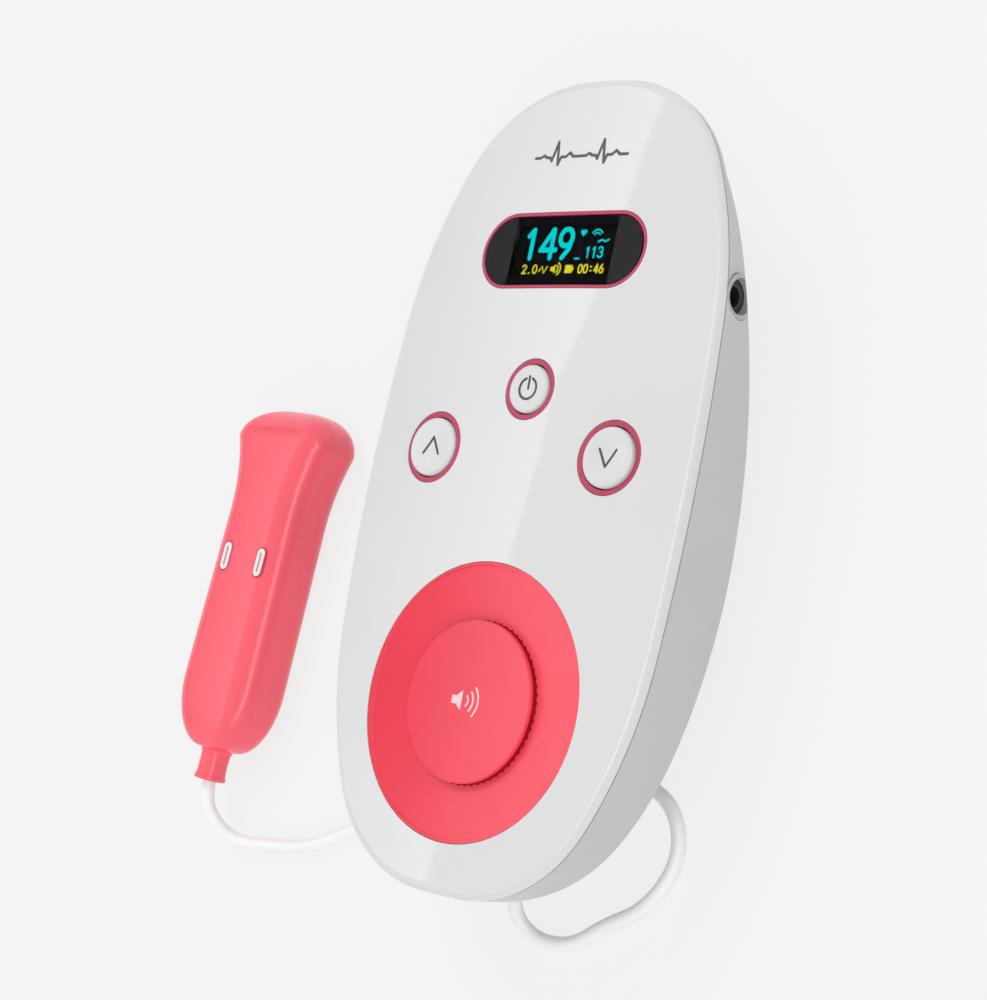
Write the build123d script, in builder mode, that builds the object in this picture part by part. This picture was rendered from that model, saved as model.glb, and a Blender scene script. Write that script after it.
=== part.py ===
"""Fetal doppler monitor: a hull-backed main unit with a screen, three keys and a
round speaker outlet, and a flared ultrasonic probe on a thin cord.

Millimetres, +Z up.  The origin is the centre of the flat land that the unit rests
on, +Y runs to the screen end (the head) and the cord leaves at the other (the tail).
"""
import math
import os

from build123d import *

UP = (Align.CENTER, Align.CENTER, Align.MIN)
DOWN = (Align.CENTER, Align.CENTER, Align.MAX)

# ---------------------------------------------------------------- driving sizes
# Main unit, outside
unit_length = 150.0
unit_width = 76.3
unit_height = 31.0            # rest land to the crown of the face
shoulder_radius = 79.0        # the outline is tangent arcs: side, shoulder, corner, tip
tip_radius = 122.0
arc_turns = (3.9, 22.2, 61.6, 2.3)   # degrees that each arc turns in one quarter
face_radius_across = 454.0    # the face is crowned both ways
face_radius_along = 1443.0
face_edge_fillet = 1.9
cover_rim = 4.1               # crown of the face to the line where the covers meet
wall = 2.0
wall_draft = 0.10             # the rear cover's wall leans in by this much per mm
keel_side_reach = 23.15       # straight middle of the back to the unit's widest line
keel_side_radius = 25.0
keel_head_radius = 123.5      # the back rises along two arcs, head and tail
keel_tail_radius = 104.0
keel_offset = 11.1            # deepest line behind the outline's centre
keel_trim = 1.2               # the rest land is cut this deep into the keel
head_lip = 1.6                # least height of the rear cover, at the head
groove = 0.35                 # shadow line between the covers
lip_height = 0.9
pilot_depth = 3.6

# Fits
slip = 0.10                   # between fixed neighbours
gap = 0.25                    # round pieces that move

# Screen window
window_y = 41.8               # from the outline's centre, as all places below are
window_length = 38.9
window_width = 14.4
window_trim_wall = 0.55
lens_thick = 1.0
lens_sunk = 0.48              # lens top below the crown line
trim_ledge = 1.1
trim_depth = 2.5
panel_size = (26.7, 18.0, 1.5)
panel_glass = (24.6, 10.2)    # rises inside the trim to the lens
panel_notch = (13.3, 3.0, 0.5)    # for its flat cable
holder_wall = 1.6

# Keys: place, cap radius, ring radius
key_travel = 0.9
power_place = (0.0, 15.6)
side_key_inset = 17.1         # from the unit's widest line
side_key_y = 4.1
power_ring_radius = 5.66
side_ring_radius = 6.70
ring_wall = 0.95
ring_sunk = 0.15
ring_drop = 0.6               # flange top below the inside of the face
ring_flange = 1.2
ring_flange_thick = 0.8
cap_proud = 1.0
cap_chamfer = 0.45
cap_flange = 0.9
cap_flange_thick = 1.0
stem_radius = 1.5
switch_side = 6.0
switch_height = 0.9
plunger_radius = 1.6
plunger_height = 0.25

# Speaker outlet
speaker_y = -41.0
dish_radius = 24.9
dish_lip = 0.5
dish_lip_depth = 0.55
dish_sunk = 0.1
dish_depth = 1.8
dish_floor_radius = 14.9
dish_floor = 1.2
dish_flange = 1.6
dish_flange_top = 2.95
dish_flange_thick = 1.0
outlet_cap_radius = 14.5
outlet_cap_thick = 0.9
outlet_cap_edge = 0.25
outlet_count = 60
outlet_width = 0.8
outlet_reach = 0.3            # slots run this far past the cap's edge
outlet_length = 3.4
cap_foot_radius = 1.6
cap_foot_circle = 8.0
cap_foot_count = 3
gasket_thick = 0.6
speaker_radius = 20.0
speaker_rim = 2.6
speaker_edge = 1.1
frame_depth = 2.7
frame_skin = 0.8
magnet_radius = 9.0
magnet_height = 2.1
cone_depth = 1.5
cone_thick = 0.4
coil_radius = 5.0

# Main board
board_drop = 8.2              # crown of the face to the board's top
board_thick = 1.6
board_inset = 7.5
board_tail = -15.0
board_head = 51.0
board_boss_radius = 2.6
board_clear = 0.5
board_screw_inset = 11.15     # from the unit's widest line
board_screw_rows = (-9.0, 25.0)
board_screw_radius = 1.0
board_screw_head = (1.9, 1.2)  # head radius and height
controller_size = (12.0, 12.0, 1.2)
amplifier_size = (8.0, 5.0, 1.4)
chip_row_y = 25.2

# Covers screwed together from the back
case_screw_insets = (11.65, 16.65)    # tail pair and head pair, from the unit's widest line
case_screw_rows = (-25.0, 49.0)
case_boss_radius = 3.4
case_boss_drop = 7.4          # crown of the face to where the bosses meet
case_screw_radius = 1.25
case_head_radius = 2.6
case_head_height = 1.8
case_screw_grip = 3.6         # boss left between the head's seat and the joint
case_screw_cross = (0.8, 2.6, 0.7)
case_head_slip = 0.3
thread_slip = 0.05

# Headphone socket, in the wall on the +X side
socket_y = 35.4
socket_drop = 4.3             # below the line where the covers meet
socket_collar_radius = 4.0
socket_mouth_radius = 3.2
socket_collar_length = 2.6
socket_bore_radius = 1.8      # takes a 3.5 mm plug
socket_bore_length = 14.0
socket_body = (11.5, 7.0, 6.4)
socket_set_back = 2.4         # body behind the inside of the wall, joined by its nose

# Battery bay and door
cell_radius = 7.25
cell_length = 49.5
cell_nub_radius = 2.7
cell_nub_length = 1.0
cell_spacing = 14.9
cell_floor = 4.3
bay_wall = 1.4
bay_half_width = 15.2
bay_tail = -27.4              # from the origin
door_half_width = 15.6
door_tail = -25.6
door_head = 27.2
door_top = 3.8
door_skin = 1.5
door_recess = (-19.0, 19.0)   # stretch of the door that is thinned to its skin
door_rim = 1.6
door_gap = 0.2
hook_width = 6.0
hook_reach = 1.4
hook_low = 2.7
hook_high = 3.5
hook_offset = 9.0
latch_width = 12.0
latch_cut = 0.8
latch_length = 8.0
thumb_width = 14.0
thumb_length = 5.0
thumb_height = 3.2
grip_count = 4
grip_pitch = 2.2
grip_width = 0.9
grip_depth = 0.45
grip_place = 14.0
contact_thick = 0.4
contact_size = 9.0
spring_wire = 0.4
spring_radius = 3.2
spring_turns = 2.5
spring_length = 4.6

# Cord and its gland at the tail
cord_diameter = 2.7
gland_y = -69.5               # mouth of the gland, and its height above the table
gland_z = 10.0
gland_fall = 37.5             # degrees below level
gland_radius = 3.1
gland_mouth_radius = 2.3
gland_length = 11.8
gland_neck = 4.6              # tapered stretch behind the mouth
gland_flange_radius = 4.4
gland_flange_place = 10.4
gland_flange_thick = 1.2

# Probe
probe_place = (-88.54, -57.84)  # tail end of its housing, on the table
probe_turn = -3.5             # degrees about Z
probe_length = 65.1           # housing, up to the sound window
probe_tail_size = (23.2, 13.8)    # width and height that the tail rounds off
probe_head_size = (20.6, 14.1)    # and at the head, before the flare
probe_round = 14.5            # stretch that rounds off to the tail
probe_round_loss = (16.5, 7.0)    # width and height lost at the tail's end
probe_flare = 15.8            # stretch that widens to the sound window
probe_flare_growth = (6.7, 0.3)
probe_corner = 0.377          # corner radius as a share of the section's height
probe_axis_height = 6.9
probe_skin = 1.6
probe_window_reach = 7.6
probe_window_loss = (0.88, 0.82)  # shares of width and height lost at its tip
probe_window_lean = 0.24      # share of the lost height that is below
probe_steps = 5               # sections in each curved stretch
relief_radius = 3.05
relief_end_radius = 3.25
relief_length = 6.5
relief_root = 5.0
relief_bore_radius = 2.1      # the cord runs into an open mouth
relief_bore_depth = 2.4
pill_places = (-4.8, 5.8)
pill_station = 39.4
pill_size = (2.2, 5.8)
pill_recess = (2.9, 6.5)
pill_thick = 1.0
pill_proud = 0.15
crystal_radius = 5.2
crystal_thick = 1.2
crystal_split = 0.8
crystal_height = 7.2
backing_length = 7.0
probe_board_size = (12.0, 24.0, 1.2)
probe_board_station = 30.0
probe_board_top = 6.6
probe_rib = (9.6, 1.2)

# Cord from the gland to the probe: places from the outline's centre, heights above the table
cord_first, cord_last = 3.4, 5.5          # straight ends, out of the gland and into the relief
cord_route = [
    (-0.5, -76.5, 5.2), (2.1, -79.4, 2.7), (6.5, -79.9, 1.35), (11.6, -78.6, 1.35), (17.3, -74.2, 1.35),
    (24.1, -70.8, 1.35), (29.1, -64.1, 1.35), (30.0, -57.4, 1.35), (26.1, -50.8, 1.35), (18.7, -48.3, 1.35),
    (4.6, -52.7, 1.35), (-13.4, -57.3, 1.35), (-31.9, -61.2, 1.35), (-47.4, -66.4, 1.35),
    (-60.3, -73.0, 1.35), (-70.8, -74.4, 1.35), (-81.3, -75.5, 2.8), (-86.6, -72.3, 5.4)]

# ---------------------------------------------------------------- worked out
land_tail = math.sqrt(2 * keel_tail_radius * keel_trim - keel_trim ** 2)
land_head = math.sqrt(2 * keel_head_radius * keel_trim - keel_trim ** 2)
keel_y = (land_tail - land_head) / 2     # centres the rest land on the origin
unit_y = keel_y + keel_offset            # centre of the outline
half_length = unit_length / 2
half_width = unit_width / 2
keel_flat = half_width - keel_side_reach
parting = unit_height - cover_rim        # where the covers meet
board_top = unit_height - board_drop
board_bottom = board_top - board_thick
case_boss_top = unit_height - case_boss_drop
case_head_seat = case_boss_top - case_screw_grip
side_key_place = (half_width - side_key_inset, side_key_y)
board_screw_places = [(side * (half_width - board_screw_inset), y)
                      for y in board_screw_rows for side in (-1, 1)]
case_screw_places = [(side * (half_width - inset), y)
                     for inset, y in zip(case_screw_insets, case_screw_rows) for side in (-1, 1)]


def on_unit(place):
    """A place given from the outline's centre, in the row's own frame."""
    return (place[0], place[1] + unit_y)


def face_height(x, y):
    """Height of the crowned face over a place given from the outline's centre."""
    return unit_height - x ** 2 / (2 * face_radius_across) - y ** 2 / (2 * face_radius_along)


def outline_radii():
    """Side and corner radii that close the quarter on the unit's width and length."""
    reach_x, reach_y, angle = [], [], 0.0
    for turn in arc_turns:
        start, end = math.radians(angle), math.radians(angle + turn)
        reach_x.append(math.cos(start) - math.cos(end))
        reach_y.append(math.sin(end) - math.sin(start))
        angle += turn
    left_x = half_width - shoulder_radius * reach_x[1] - tip_radius * reach_x[3]
    left_y = half_length - shoulder_radius * reach_y[1] - tip_radius * reach_y[3]
    span = reach_x[0] * reach_y[2] - reach_x[2] * reach_y[0]
    side = (left_x * reach_y[2] - reach_x[2] * left_y) / span
    corner = (reach_x[0] * left_y - left_x * reach_y[0]) / span
    return side, shoulder_radius, corner, tip_radius


def outline_face(height, inset=0.0):
    """The unit's outline at a height, drawn in by inset, as sixteen tangent arcs."""
    quarter = list(zip(outline_radii(), arc_turns))
    with BuildSketch(Plane(origin=(0, unit_y, height))) as face:
        with BuildLine():
            point, heading = Vector(half_width - inset, 0), Vector(0, 1)
            for radius, turn in (quarter + quarter[::-1]) * 2:
                arc = JernArc(point, heading, radius - inset, turn)
                point, heading = arc @ 1, arc % 1
        make_face()
    return face.sketch


def drum(inset, top, bottom):
    """The outline carried down from top to bottom with the wall's draft."""
    with BuildPart() as form:
        extrude(outline_face(top, inset + wall_draft * (parting - top)), amount=bottom - top,
                taper=math.degrees(math.atan(wall_draft)))
    return form.part


def face_form(drop):
    """Everything under the crowned face, lowered by drop: arcs across, lofted along."""
    reach_x, reach_y, depth = 60.0, half_length * 1.3, 30.0
    rise = face_radius_across - math.sqrt(face_radius_across ** 2 - reach_x ** 2)
    with BuildPart() as form:
        for y in (-reach_y, 0, reach_y):
            top = face_height(0, y) - drop
            with BuildSketch(Plane.XZ.offset(-unit_y - y)):
                with BuildLine():
                    ThreePointArc((-reach_x, top - rise), (0, top), (reach_x, top - rise))
                    Polyline((reach_x, top - rise), (reach_x, unit_height - depth),
                             (-reach_x, unit_height - depth), (-reach_x, top - rise))
                make_face()
        loft()
    return form.part


def keel_form(skin):
    """Everything inside the back surface, drawn in by skin."""
    low = skin - keel_trim
    radius = keel_side_radius - skin
    sweep_angle, reach, top = 78.0, 60.0, 60.0
    with BuildPart() as form:
        with BuildSketch(Plane.XZ.offset(-keel_y)) as section:
            with BuildLine():
                Line((-keel_flat, low), (keel_flat, low))
                right = CenterArc((keel_flat, low + radius), radius, -90, sweep_angle)
                left = CenterArc((-keel_flat, low + radius), radius, -90, -sweep_angle)
                Polyline(right @ 1, (reach, top), (-reach, top), left @ 1)
            make_face()
        head_hub = (0, keel_y, keel_head_radius - keel_trim)
        tail_hub = (0, keel_y, keel_tail_radius - keel_trim)
        revolve(section.sketch, axis=Axis(head_hub, (1, 0, 0)), revolution_arc=50)
        revolve(section.sketch, axis=Axis(tail_hub, (-1, 0, 0)), revolution_arc=50)
    return form.part


def back_form(skin):
    """The keel form, with the lip that it leaves under the head."""
    with BuildPart() as form:
        add(keel_form(skin))
        if skin == 0:
            with Locations((0, unit_y, parting - head_lip)):
                Box(2 * unit_width, 2 * unit_length, unit_height, align=UP)
    return form.part


def finish(builder, name):
    """Label a finished piece and write it."""
    builder.part.label = name
    export_step(builder.part, f"parts/{name}.step")


os.makedirs("parts", exist_ok=True)


# ---------------------------------------------------------------- main unit: covers
key_places = {"power": power_place, "up": (-side_key_place[0], side_key_place[1]), "down": side_key_place}
ring_radii = {"power": power_ring_radius, "up": side_ring_radius, "down": side_ring_radius}
window_face = face_height(0, window_y)
boss_sizes = ((case_boss_radius, case_boss_top, case_screw_places, case_screw_radius),
              (board_boss_radius, board_top, board_screw_places, board_screw_radius))

# Places that the covers share with their neighbours
socket_height = parting - socket_drop
bay_head = bay_tail + 2 * contact_thick + spring_length + cell_length + cell_nub_length
bay_middle = (bay_tail + bay_head) / 2
bay_length = bay_head - bay_tail
bay_top = cell_floor + 2 * cell_radius + 2 * slip
gland_plane = Plane(origin=(0, unit_y + gland_y, gland_z), x_dir=(1, 0, 0),
                    z_dir=(0, -math.cos(math.radians(gland_fall)), -math.sin(math.radians(gland_fall))))
socket_plane = Plane(origin=(0, unit_y + socket_y, socket_height), x_dir=(0, 1, 0), z_dir=(1, 0, 0))


def wall_reach(y, z):
    """Distance from the middle to the rear cover's side wall at a place along the unit."""
    side, shoulder, corner, tip = outline_radii()
    angle = math.asin(min(abs(y) / side, 1.0))
    if math.degrees(angle) > arc_turns[0]:
        start = math.radians(arc_turns[0])
        hub_y = (side - shoulder) * math.sin(start)
        angle = math.asin(min((abs(y) - hub_y) / shoulder, 1.0))
        reach = half_width - side + (side - shoulder) * math.cos(start) + shoulder * math.cos(angle)
    else:
        reach = half_width - side * (1 - math.cos(angle))
    return reach - wall_draft * (parting - z)


socket_wall = wall_reach(socket_y, socket_height)

with BuildPart() as face_cavity:
    extrude(outline_face(board_bottom, wall), amount=unit_height - board_bottom)
    add(face_form(wall), mode=Mode.INTERSECT)
    for boss, low, places, pilot in boss_sizes:
        with Locations(*[(*on_unit(place), board_bottom) for place in places]):
            Cylinder(boss, unit_height, align=UP, mode=Mode.SUBTRACT)

with BuildPart() as front_cover:
    extrude(outline_face(parting), amount=cover_rim + 1)
    add(face_form(0), mode=Mode.INTERSECT)
    fillet(front_cover.faces().sort_by(Axis.Z)[-1].edges(), face_edge_fillet)
    extrude(outline_face(parting - lip_height, wall / 2 + slip), amount=lip_height + wall / 2)
    for boss, low, places, pilot in boss_sizes:
        with Locations(*[(*on_unit(place), low) for place in places]):
            Cylinder(boss, parting + wall / 2 - low, align=UP)
    add(face_cavity.part, mode=Mode.SUBTRACT)
    for boss, low, places, pilot in boss_sizes:
        with Locations(*[(*on_unit(place), low) for place in places]):
            Cylinder(pilot, pilot_depth, align=UP, mode=Mode.SUBTRACT)
    with BuildSketch(Plane.XY.offset(board_top)):
        with Locations(on_unit((0, window_y))):
            SlotOverall(window_length + 2 * slip, window_width + 2 * slip)
        for key, place in key_places.items():
            with Locations(on_unit(place)):
                Circle(ring_radii[key] + slip)
        with Locations(on_unit((0, speaker_y))):
            Circle(dish_radius + slip)
    extrude(amount=unit_height, mode=Mode.SUBTRACT)
    # The lip is cut away round the headphone socket
    with BuildSketch(socket_plane.offset(socket_wall - 3 * wall)):
        Circle(socket_collar_radius + slip)
    extrude(amount=6 * wall, mode=Mode.SUBTRACT)
finish(front_cover, "front_cover")

with BuildPart() as rear_inside:
    add(drum(wall, parting + 1, -1))
    add(back_form(wall), mode=Mode.INTERSECT)
    # Battery bay walls and the screw bosses stay
    with Locations((0, bay_middle, -1)):
        Box(2 * (bay_half_width + bay_wall), bay_length + 2 * bay_wall, bay_top + bay_wall + 1, align=UP,
            mode=Mode.SUBTRACT)
    with Locations(*[(*on_unit(place), -1) for place in case_screw_places]):
        Cylinder(case_boss_radius, case_boss_top - slip + 1, align=UP, mode=Mode.SUBTRACT)

with BuildPart() as rear_cover:
    add(drum(0, parting, -1))
    add(back_form(0), mode=Mode.INTERSECT)
    with Locations((0, unit_y, 0)):
        Box(unit_width * 2, unit_length * 2, 5, align=DOWN, mode=Mode.SUBTRACT)
    add(rear_inside.part, mode=Mode.SUBTRACT)
    # Rabbet for the front cover's lip, and the shadow line outside
    with BuildSketch(Plane.XY.offset(parting - lip_height - slip)):
        add(outline_face(parting - lip_height - slip, wall / 2))
        add(outline_face(parting - lip_height - slip, wall + slip), mode=Mode.SUBTRACT)
    extrude(amount=lip_height + 1, mode=Mode.SUBTRACT)
    with BuildSketch(Plane.XY.offset(parting - groove)):
        add(outline_face(parting - groove, -1))
        add(outline_face(parting - groove, groove), mode=Mode.SUBTRACT)
    extrude(amount=1, mode=Mode.SUBTRACT)
    # Screw holes, counterbored from the back
    with Locations(*[(*on_unit(place), -1) for place in case_screw_places]):
        Cylinder(case_screw_radius + case_head_slip, case_boss_top + 2, align=UP, mode=Mode.SUBTRACT)
        Cylinder(case_head_radius + case_head_slip, case_head_seat + 1, align=UP, mode=Mode.SUBTRACT)
    # Battery bay, open at the back for its door
    with Locations((0, bay_middle, door_top + slip)):
        Box(2 * bay_half_width, bay_length, bay_top - door_top - slip, align=UP, mode=Mode.SUBTRACT)
    with Locations((0, (door_tail + door_head) / 2, -1)):
        Box(2 * (door_half_width + door_gap), door_head - door_tail + 2 * door_gap, door_top + slip + 1,
            align=UP, mode=Mode.SUBTRACT)
    with Locations(*[(side * hook_offset, door_tail, hook_low - slip) for side in (-1, 1)]):
        Box(hook_width + 2 * door_gap, 2 * (hook_reach + door_gap), door_top + 2 * slip - hook_low, align=UP,
            mode=Mode.SUBTRACT)
    with BuildSketch(Plane.XY.offset(-1)):
        with Locations((0, door_head)):
            SlotOverall(thumb_width, 2 * thumb_length)
    extrude(amount=thumb_height + 1, mode=Mode.SUBTRACT)
    # Headphone socket and cord gland
    with BuildSketch(socket_plane.offset(socket_wall - 3 * wall)):
        Circle(socket_collar_radius + slip)
    extrude(amount=6 * wall, mode=Mode.SUBTRACT)
    with BuildSketch(gland_plane.offset(-gland_length)):
        Circle(gland_radius + slip)
    extrude(amount=2 * gland_length, mode=Mode.SUBTRACT)
finish(rear_cover, "rear_cover")

# ---------------------------------------------------------------- case screws
with BuildPart() as case_screws:
    with Locations(*[(*on_unit(place), case_head_seat) for place in case_screw_places]):
        Cylinder(case_head_radius, case_head_height, align=DOWN)
        Cylinder(case_screw_radius - thread_slip, case_screw_grip + pilot_depth - gap, align=UP)
        with Locations((0, 0, -case_head_height)):
            for turn in (0, 90):
                Box(*case_screw_cross, rotation=(0, 0, turn), align=UP, mode=Mode.SUBTRACT)
finish(case_screws, "case_screws")

# ---------------------------------------------------------------- screen
window_middle = on_unit((0, window_y))
trim_bottom = window_face - trim_depth
lens_top = window_face - lens_sunk
lens_bottom = lens_top - lens_thick


def pill(inset):
    """The window's pill outline, drawn in by inset."""
    SlotOverall(window_length - 2 * inset, window_width - 2 * inset)


with BuildPart() as window_trim:
    with BuildSketch(Plane.XY.offset(trim_bottom)):
        with Locations(window_middle):
            pill(0)
    extrude(amount=2 * trim_depth)
    add(face_form(0), mode=Mode.INTERSECT)
    with BuildSketch(Plane.XY.offset(trim_bottom - 1)):
        with Locations(window_middle):
            pill(window_trim_wall + trim_ledge)
    extrude(amount=2 * trim_depth, mode=Mode.SUBTRACT)
    with BuildSketch(Plane.XY.offset(lens_bottom - slip / 2)):
        with Locations(window_middle):
            pill(window_trim_wall)
    extrude(amount=2 * trim_depth, mode=Mode.SUBTRACT)
finish(window_trim, "window_trim")

with BuildPart() as display_window:
    with BuildSketch(Plane.XY.offset(lens_bottom)):
        with Locations(window_middle):
            pill(window_trim_wall + slip / 2)
    extrude(amount=lens_thick)
    fillet(display_window.faces().sort_by(Axis.Z)[-1].edges(), slip)
finish(display_window, "display_window")

panel_top = trim_bottom - slip
with BuildPart() as display_panel:
    with Locations((*window_middle, panel_top)):
        Box(*panel_size, align=DOWN)
        Box(*panel_glass, lens_bottom - slip - panel_top, align=UP)
    with Locations((window_middle[0], window_middle[1] - panel_size[1] / 2, panel_top)):
        Box(*panel_notch, align=(Align.CENTER, Align.MIN, Align.MAX), mode=Mode.SUBTRACT)
finish(display_panel, "display_panel")

holder_height = panel_top - panel_size[2] - board_top
with BuildPart() as display_holder:
    with Locations((*window_middle, board_top)):
        Box(panel_size[0], panel_size[1], holder_height, align=UP)
        Box(panel_size[0] - 2 * holder_wall, panel_size[1] - 2 * holder_wall, holder_height, align=UP,
            mode=Mode.SUBTRACT)
finish(display_holder, "display_holder")

# ---------------------------------------------------------------- keys
for key, place in key_places.items():
    ring_outer = ring_radii[key]
    ring_inner = ring_outer - ring_wall
    cap_radius = ring_inner - gap
    level = face_height(*place)
    flange_top = level - wall - ring_drop
    ring_bottom = flange_top - ring_flange_thick
    middle = on_unit(place)

    with BuildPart() as key_ring:
        with Locations((*middle, ring_bottom)):
            Cylinder(ring_outer, unit_height - ring_bottom, align=UP)
        add(face_form(ring_sunk), mode=Mode.INTERSECT)
        with Locations((*middle, ring_bottom)):
            Cylinder(ring_outer + ring_flange, ring_flange_thick, align=UP)
            Cylinder(ring_inner, unit_height, align=UP, mode=Mode.SUBTRACT)
    finish(key_ring, f"{key}_ring")

    cap_bottom = ring_bottom - gap - cap_flange_thick
    stem_bottom = board_top + switch_height + plunger_height + key_travel + gap / 5
    with BuildPart() as key_cap:
        with Locations((*middle, cap_bottom)):
            Cylinder(cap_radius, level + cap_proud - cap_bottom, align=UP)
        fillet(key_cap.faces().sort_by(Axis.Z)[-1].edges(), cap_chamfer)
        with Locations((*middle, cap_bottom)):
            Cylinder(cap_radius + cap_flange, cap_flange_thick, align=UP)
            Cylinder(stem_radius, cap_bottom - stem_bottom, align=DOWN)
    finish(key_cap, f"{key}_button")

    with BuildPart() as key_switch:
        with Locations((*middle, board_top)):
            Box(switch_side, switch_side, switch_height, align=UP)
            Cylinder(plunger_radius, switch_height + plunger_height, align=UP)
    finish(key_switch, f"{key}_switch")

# ---------------------------------------------------------------- main board
socket_body_end = socket_wall - wall - socket_set_back - socket_body[0]
with BuildPart() as main_board:
    with BuildSketch(Plane.XY.offset(board_bottom)):
        add(outline_face(board_bottom, board_inset))
        with Locations((0, unit_y + (board_tail + board_head) / 2, 0)):
            Rectangle(unit_width, board_head - board_tail, mode=Mode.INTERSECT)
        with Locations((socket_body_end - slip, unit_y + socket_y)):
            Rectangle(unit_width, socket_body[1] + 2 * slip, align=(Align.MIN, Align.CENTER),
                      mode=Mode.SUBTRACT)
        with Locations(*[on_unit(place) for place in case_screw_places]):
            Circle(case_boss_radius + board_clear, mode=Mode.SUBTRACT)
        with Locations(*[on_unit(place) for place in board_screw_places]):
            Circle(board_screw_radius + slip, mode=Mode.SUBTRACT)
    extrude(amount=board_thick)
finish(main_board, "main_board")

with BuildPart() as board_screws:
    with Locations(*[(*on_unit(place), board_bottom) for place in board_screw_places]):
        Cylinder(*board_screw_head, align=DOWN)
        Cylinder(board_screw_radius - thread_slip, board_thick + pilot_depth - gap, align=UP)
finish(board_screws, "board_screws")

with BuildPart() as controller_chip:
    with Locations((*on_unit((0, chip_row_y)), board_top)):
        Box(*controller_size, align=UP)
    chamfer(controller_chip.faces().sort_by(Axis.Z)[-1].edges(), 0.2)
finish(controller_chip, "controller_chip")

with BuildPart() as amplifier_chip:
    with Locations((*on_unit((0, board_tail + 8.0)), board_top)):
        Box(*amplifier_size, align=UP)
    chamfer(amplifier_chip.faces().sort_by(Axis.Z)[-1].edges(), 0.2)
finish(amplifier_chip, "amplifier_chip")

# ---------------------------------------------------------------- headphone socket
with BuildPart() as socket_collar:
    with BuildSketch(socket_plane.offset(socket_wall - socket_collar_length + 0.3)):
        Circle(socket_collar_radius)
        Circle(socket_mouth_radius, mode=Mode.SUBTRACT)
    extrude(amount=socket_collar_length)
    add(keel_form(0), mode=Mode.INTERSECT)
finish(socket_collar, "socket_collar")

with BuildPart() as headphone_socket:
    with BuildSketch(socket_plane.offset(socket_body_end)):
        Rectangle(socket_body[1], socket_body[2])
    extrude(amount=socket_body[0])
    with BuildSketch(socket_plane.offset(socket_body_end + socket_body[0])):
        Circle(socket_mouth_radius - slip)
    extrude(amount=socket_set_back + 0.6)
    with BuildSketch(socket_plane.offset(socket_wall - wall + 0.6 - socket_bore_length)):
        Circle(socket_bore_radius)
    extrude(amount=socket_bore_length + 1, mode=Mode.SUBTRACT)
finish(headphone_socket, "headphone_socket")

# ---------------------------------------------------------------- speaker
face_slope = -speaker_y / face_radius_along
speaker_origin = (0, unit_y + speaker_y, face_height(0, speaker_y))
speaker_plane = Plane(origin=speaker_origin, x_dir=(1, 0, 0), z_dir=(0, -face_slope, 1))
speaker_section = Plane(origin=speaker_origin, x_dir=(1, 0, 0), z_dir=(0, -1, -face_slope))
speaker_axis = Axis(speaker_origin, (0, -face_slope, 1))
floor_bottom = -dish_depth - dish_floor
flange_bottom = -dish_flange_top - dish_flange_thick

with BuildPart() as speaker_dish:
    with BuildSketch(speaker_section):
        with BuildLine():
            Polyline((0, -dish_depth), (dish_floor_radius, -dish_depth),
                     (dish_radius - dish_lip, -dish_lip_depth), (dish_radius - dish_lip, 1), (dish_radius, 1),
                     (dish_radius, -dish_flange_top), (dish_radius + dish_flange, -dish_flange_top),
                     (dish_radius + dish_flange, flange_bottom), (speaker_radius + 2, flange_bottom),
                     (speaker_radius + 1, floor_bottom), (0, floor_bottom), (0, -dish_depth))
        make_face()
    revolve(axis=speaker_axis)
    add(face_form(dish_sunk), mode=Mode.INTERSECT)
    with BuildSketch(speaker_plane.offset(floor_bottom - 1)):
        with PolarLocations(outlet_cap_radius + outlet_reach - outlet_length / 2, outlet_count):
            SlotOverall(outlet_length, outlet_width)
    extrude(amount=dish_floor + 2, mode=Mode.SUBTRACT)
finish(speaker_dish, "speaker_dish")

with BuildPart() as speaker_cap:
    with BuildSketch(speaker_plane.offset(-outlet_cap_thick)):
        Circle(outlet_cap_radius)
    extrude(amount=outlet_cap_thick)
    fillet(speaker_cap.edges().sort_by(Axis.Z)[-1], outlet_cap_edge)
    with BuildSketch(speaker_plane.offset(-dish_depth)):
        with PolarLocations(cap_foot_circle, cap_foot_count):
            Circle(cap_foot_radius)
    extrude(amount=dish_depth - outlet_cap_thick)
finish(speaker_cap, "speaker_cap")

gasket_top = floor_bottom - slip / 2
frame_top = gasket_top - gasket_thick - slip / 2
with BuildPart() as speaker_gasket:
    with BuildSketch(speaker_plane.offset(gasket_top - gasket_thick)):
        Circle(speaker_radius)
        Circle(speaker_radius - speaker_rim, mode=Mode.SUBTRACT)
    extrude(amount=gasket_thick)
finish(speaker_gasket, "speaker_gasket")

frame_floor = frame_top - frame_depth
with BuildPart() as speaker_frame:
    with BuildSketch(speaker_section):
        with BuildLine():
            Polyline((speaker_radius, frame_top), (speaker_radius, frame_top - speaker_edge),
                     (magnet_radius + 1, frame_floor), (0, frame_floor), (0, frame_floor + frame_skin),
                     (magnet_radius + 1.5, frame_floor + frame_skin),
                     (speaker_radius - speaker_rim, frame_top - speaker_edge + 0.3),
                     (speaker_radius - speaker_rim, frame_top), (speaker_radius, frame_top))
        make_face()
    revolve(axis=speaker_axis)
finish(speaker_frame, "speaker_frame")

with BuildPart() as speaker_cone:
    with BuildSketch(speaker_section):
        with BuildLine():
            Polyline((speaker_radius - speaker_rim - gap, frame_top - 0.1),
                     (speaker_radius - speaker_rim - gap, frame_top - 0.1 - cone_thick),
                     (coil_radius, frame_top - cone_depth), (0, frame_top - cone_depth),
                     (0, frame_top - cone_depth + 2 * cone_thick),
                     (coil_radius, frame_top - cone_depth + cone_thick),
                     (speaker_radius - speaker_rim - gap, frame_top - 0.1))
        make_face()
    revolve(axis=speaker_axis)
finish(speaker_cone, "speaker_cone")

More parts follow.
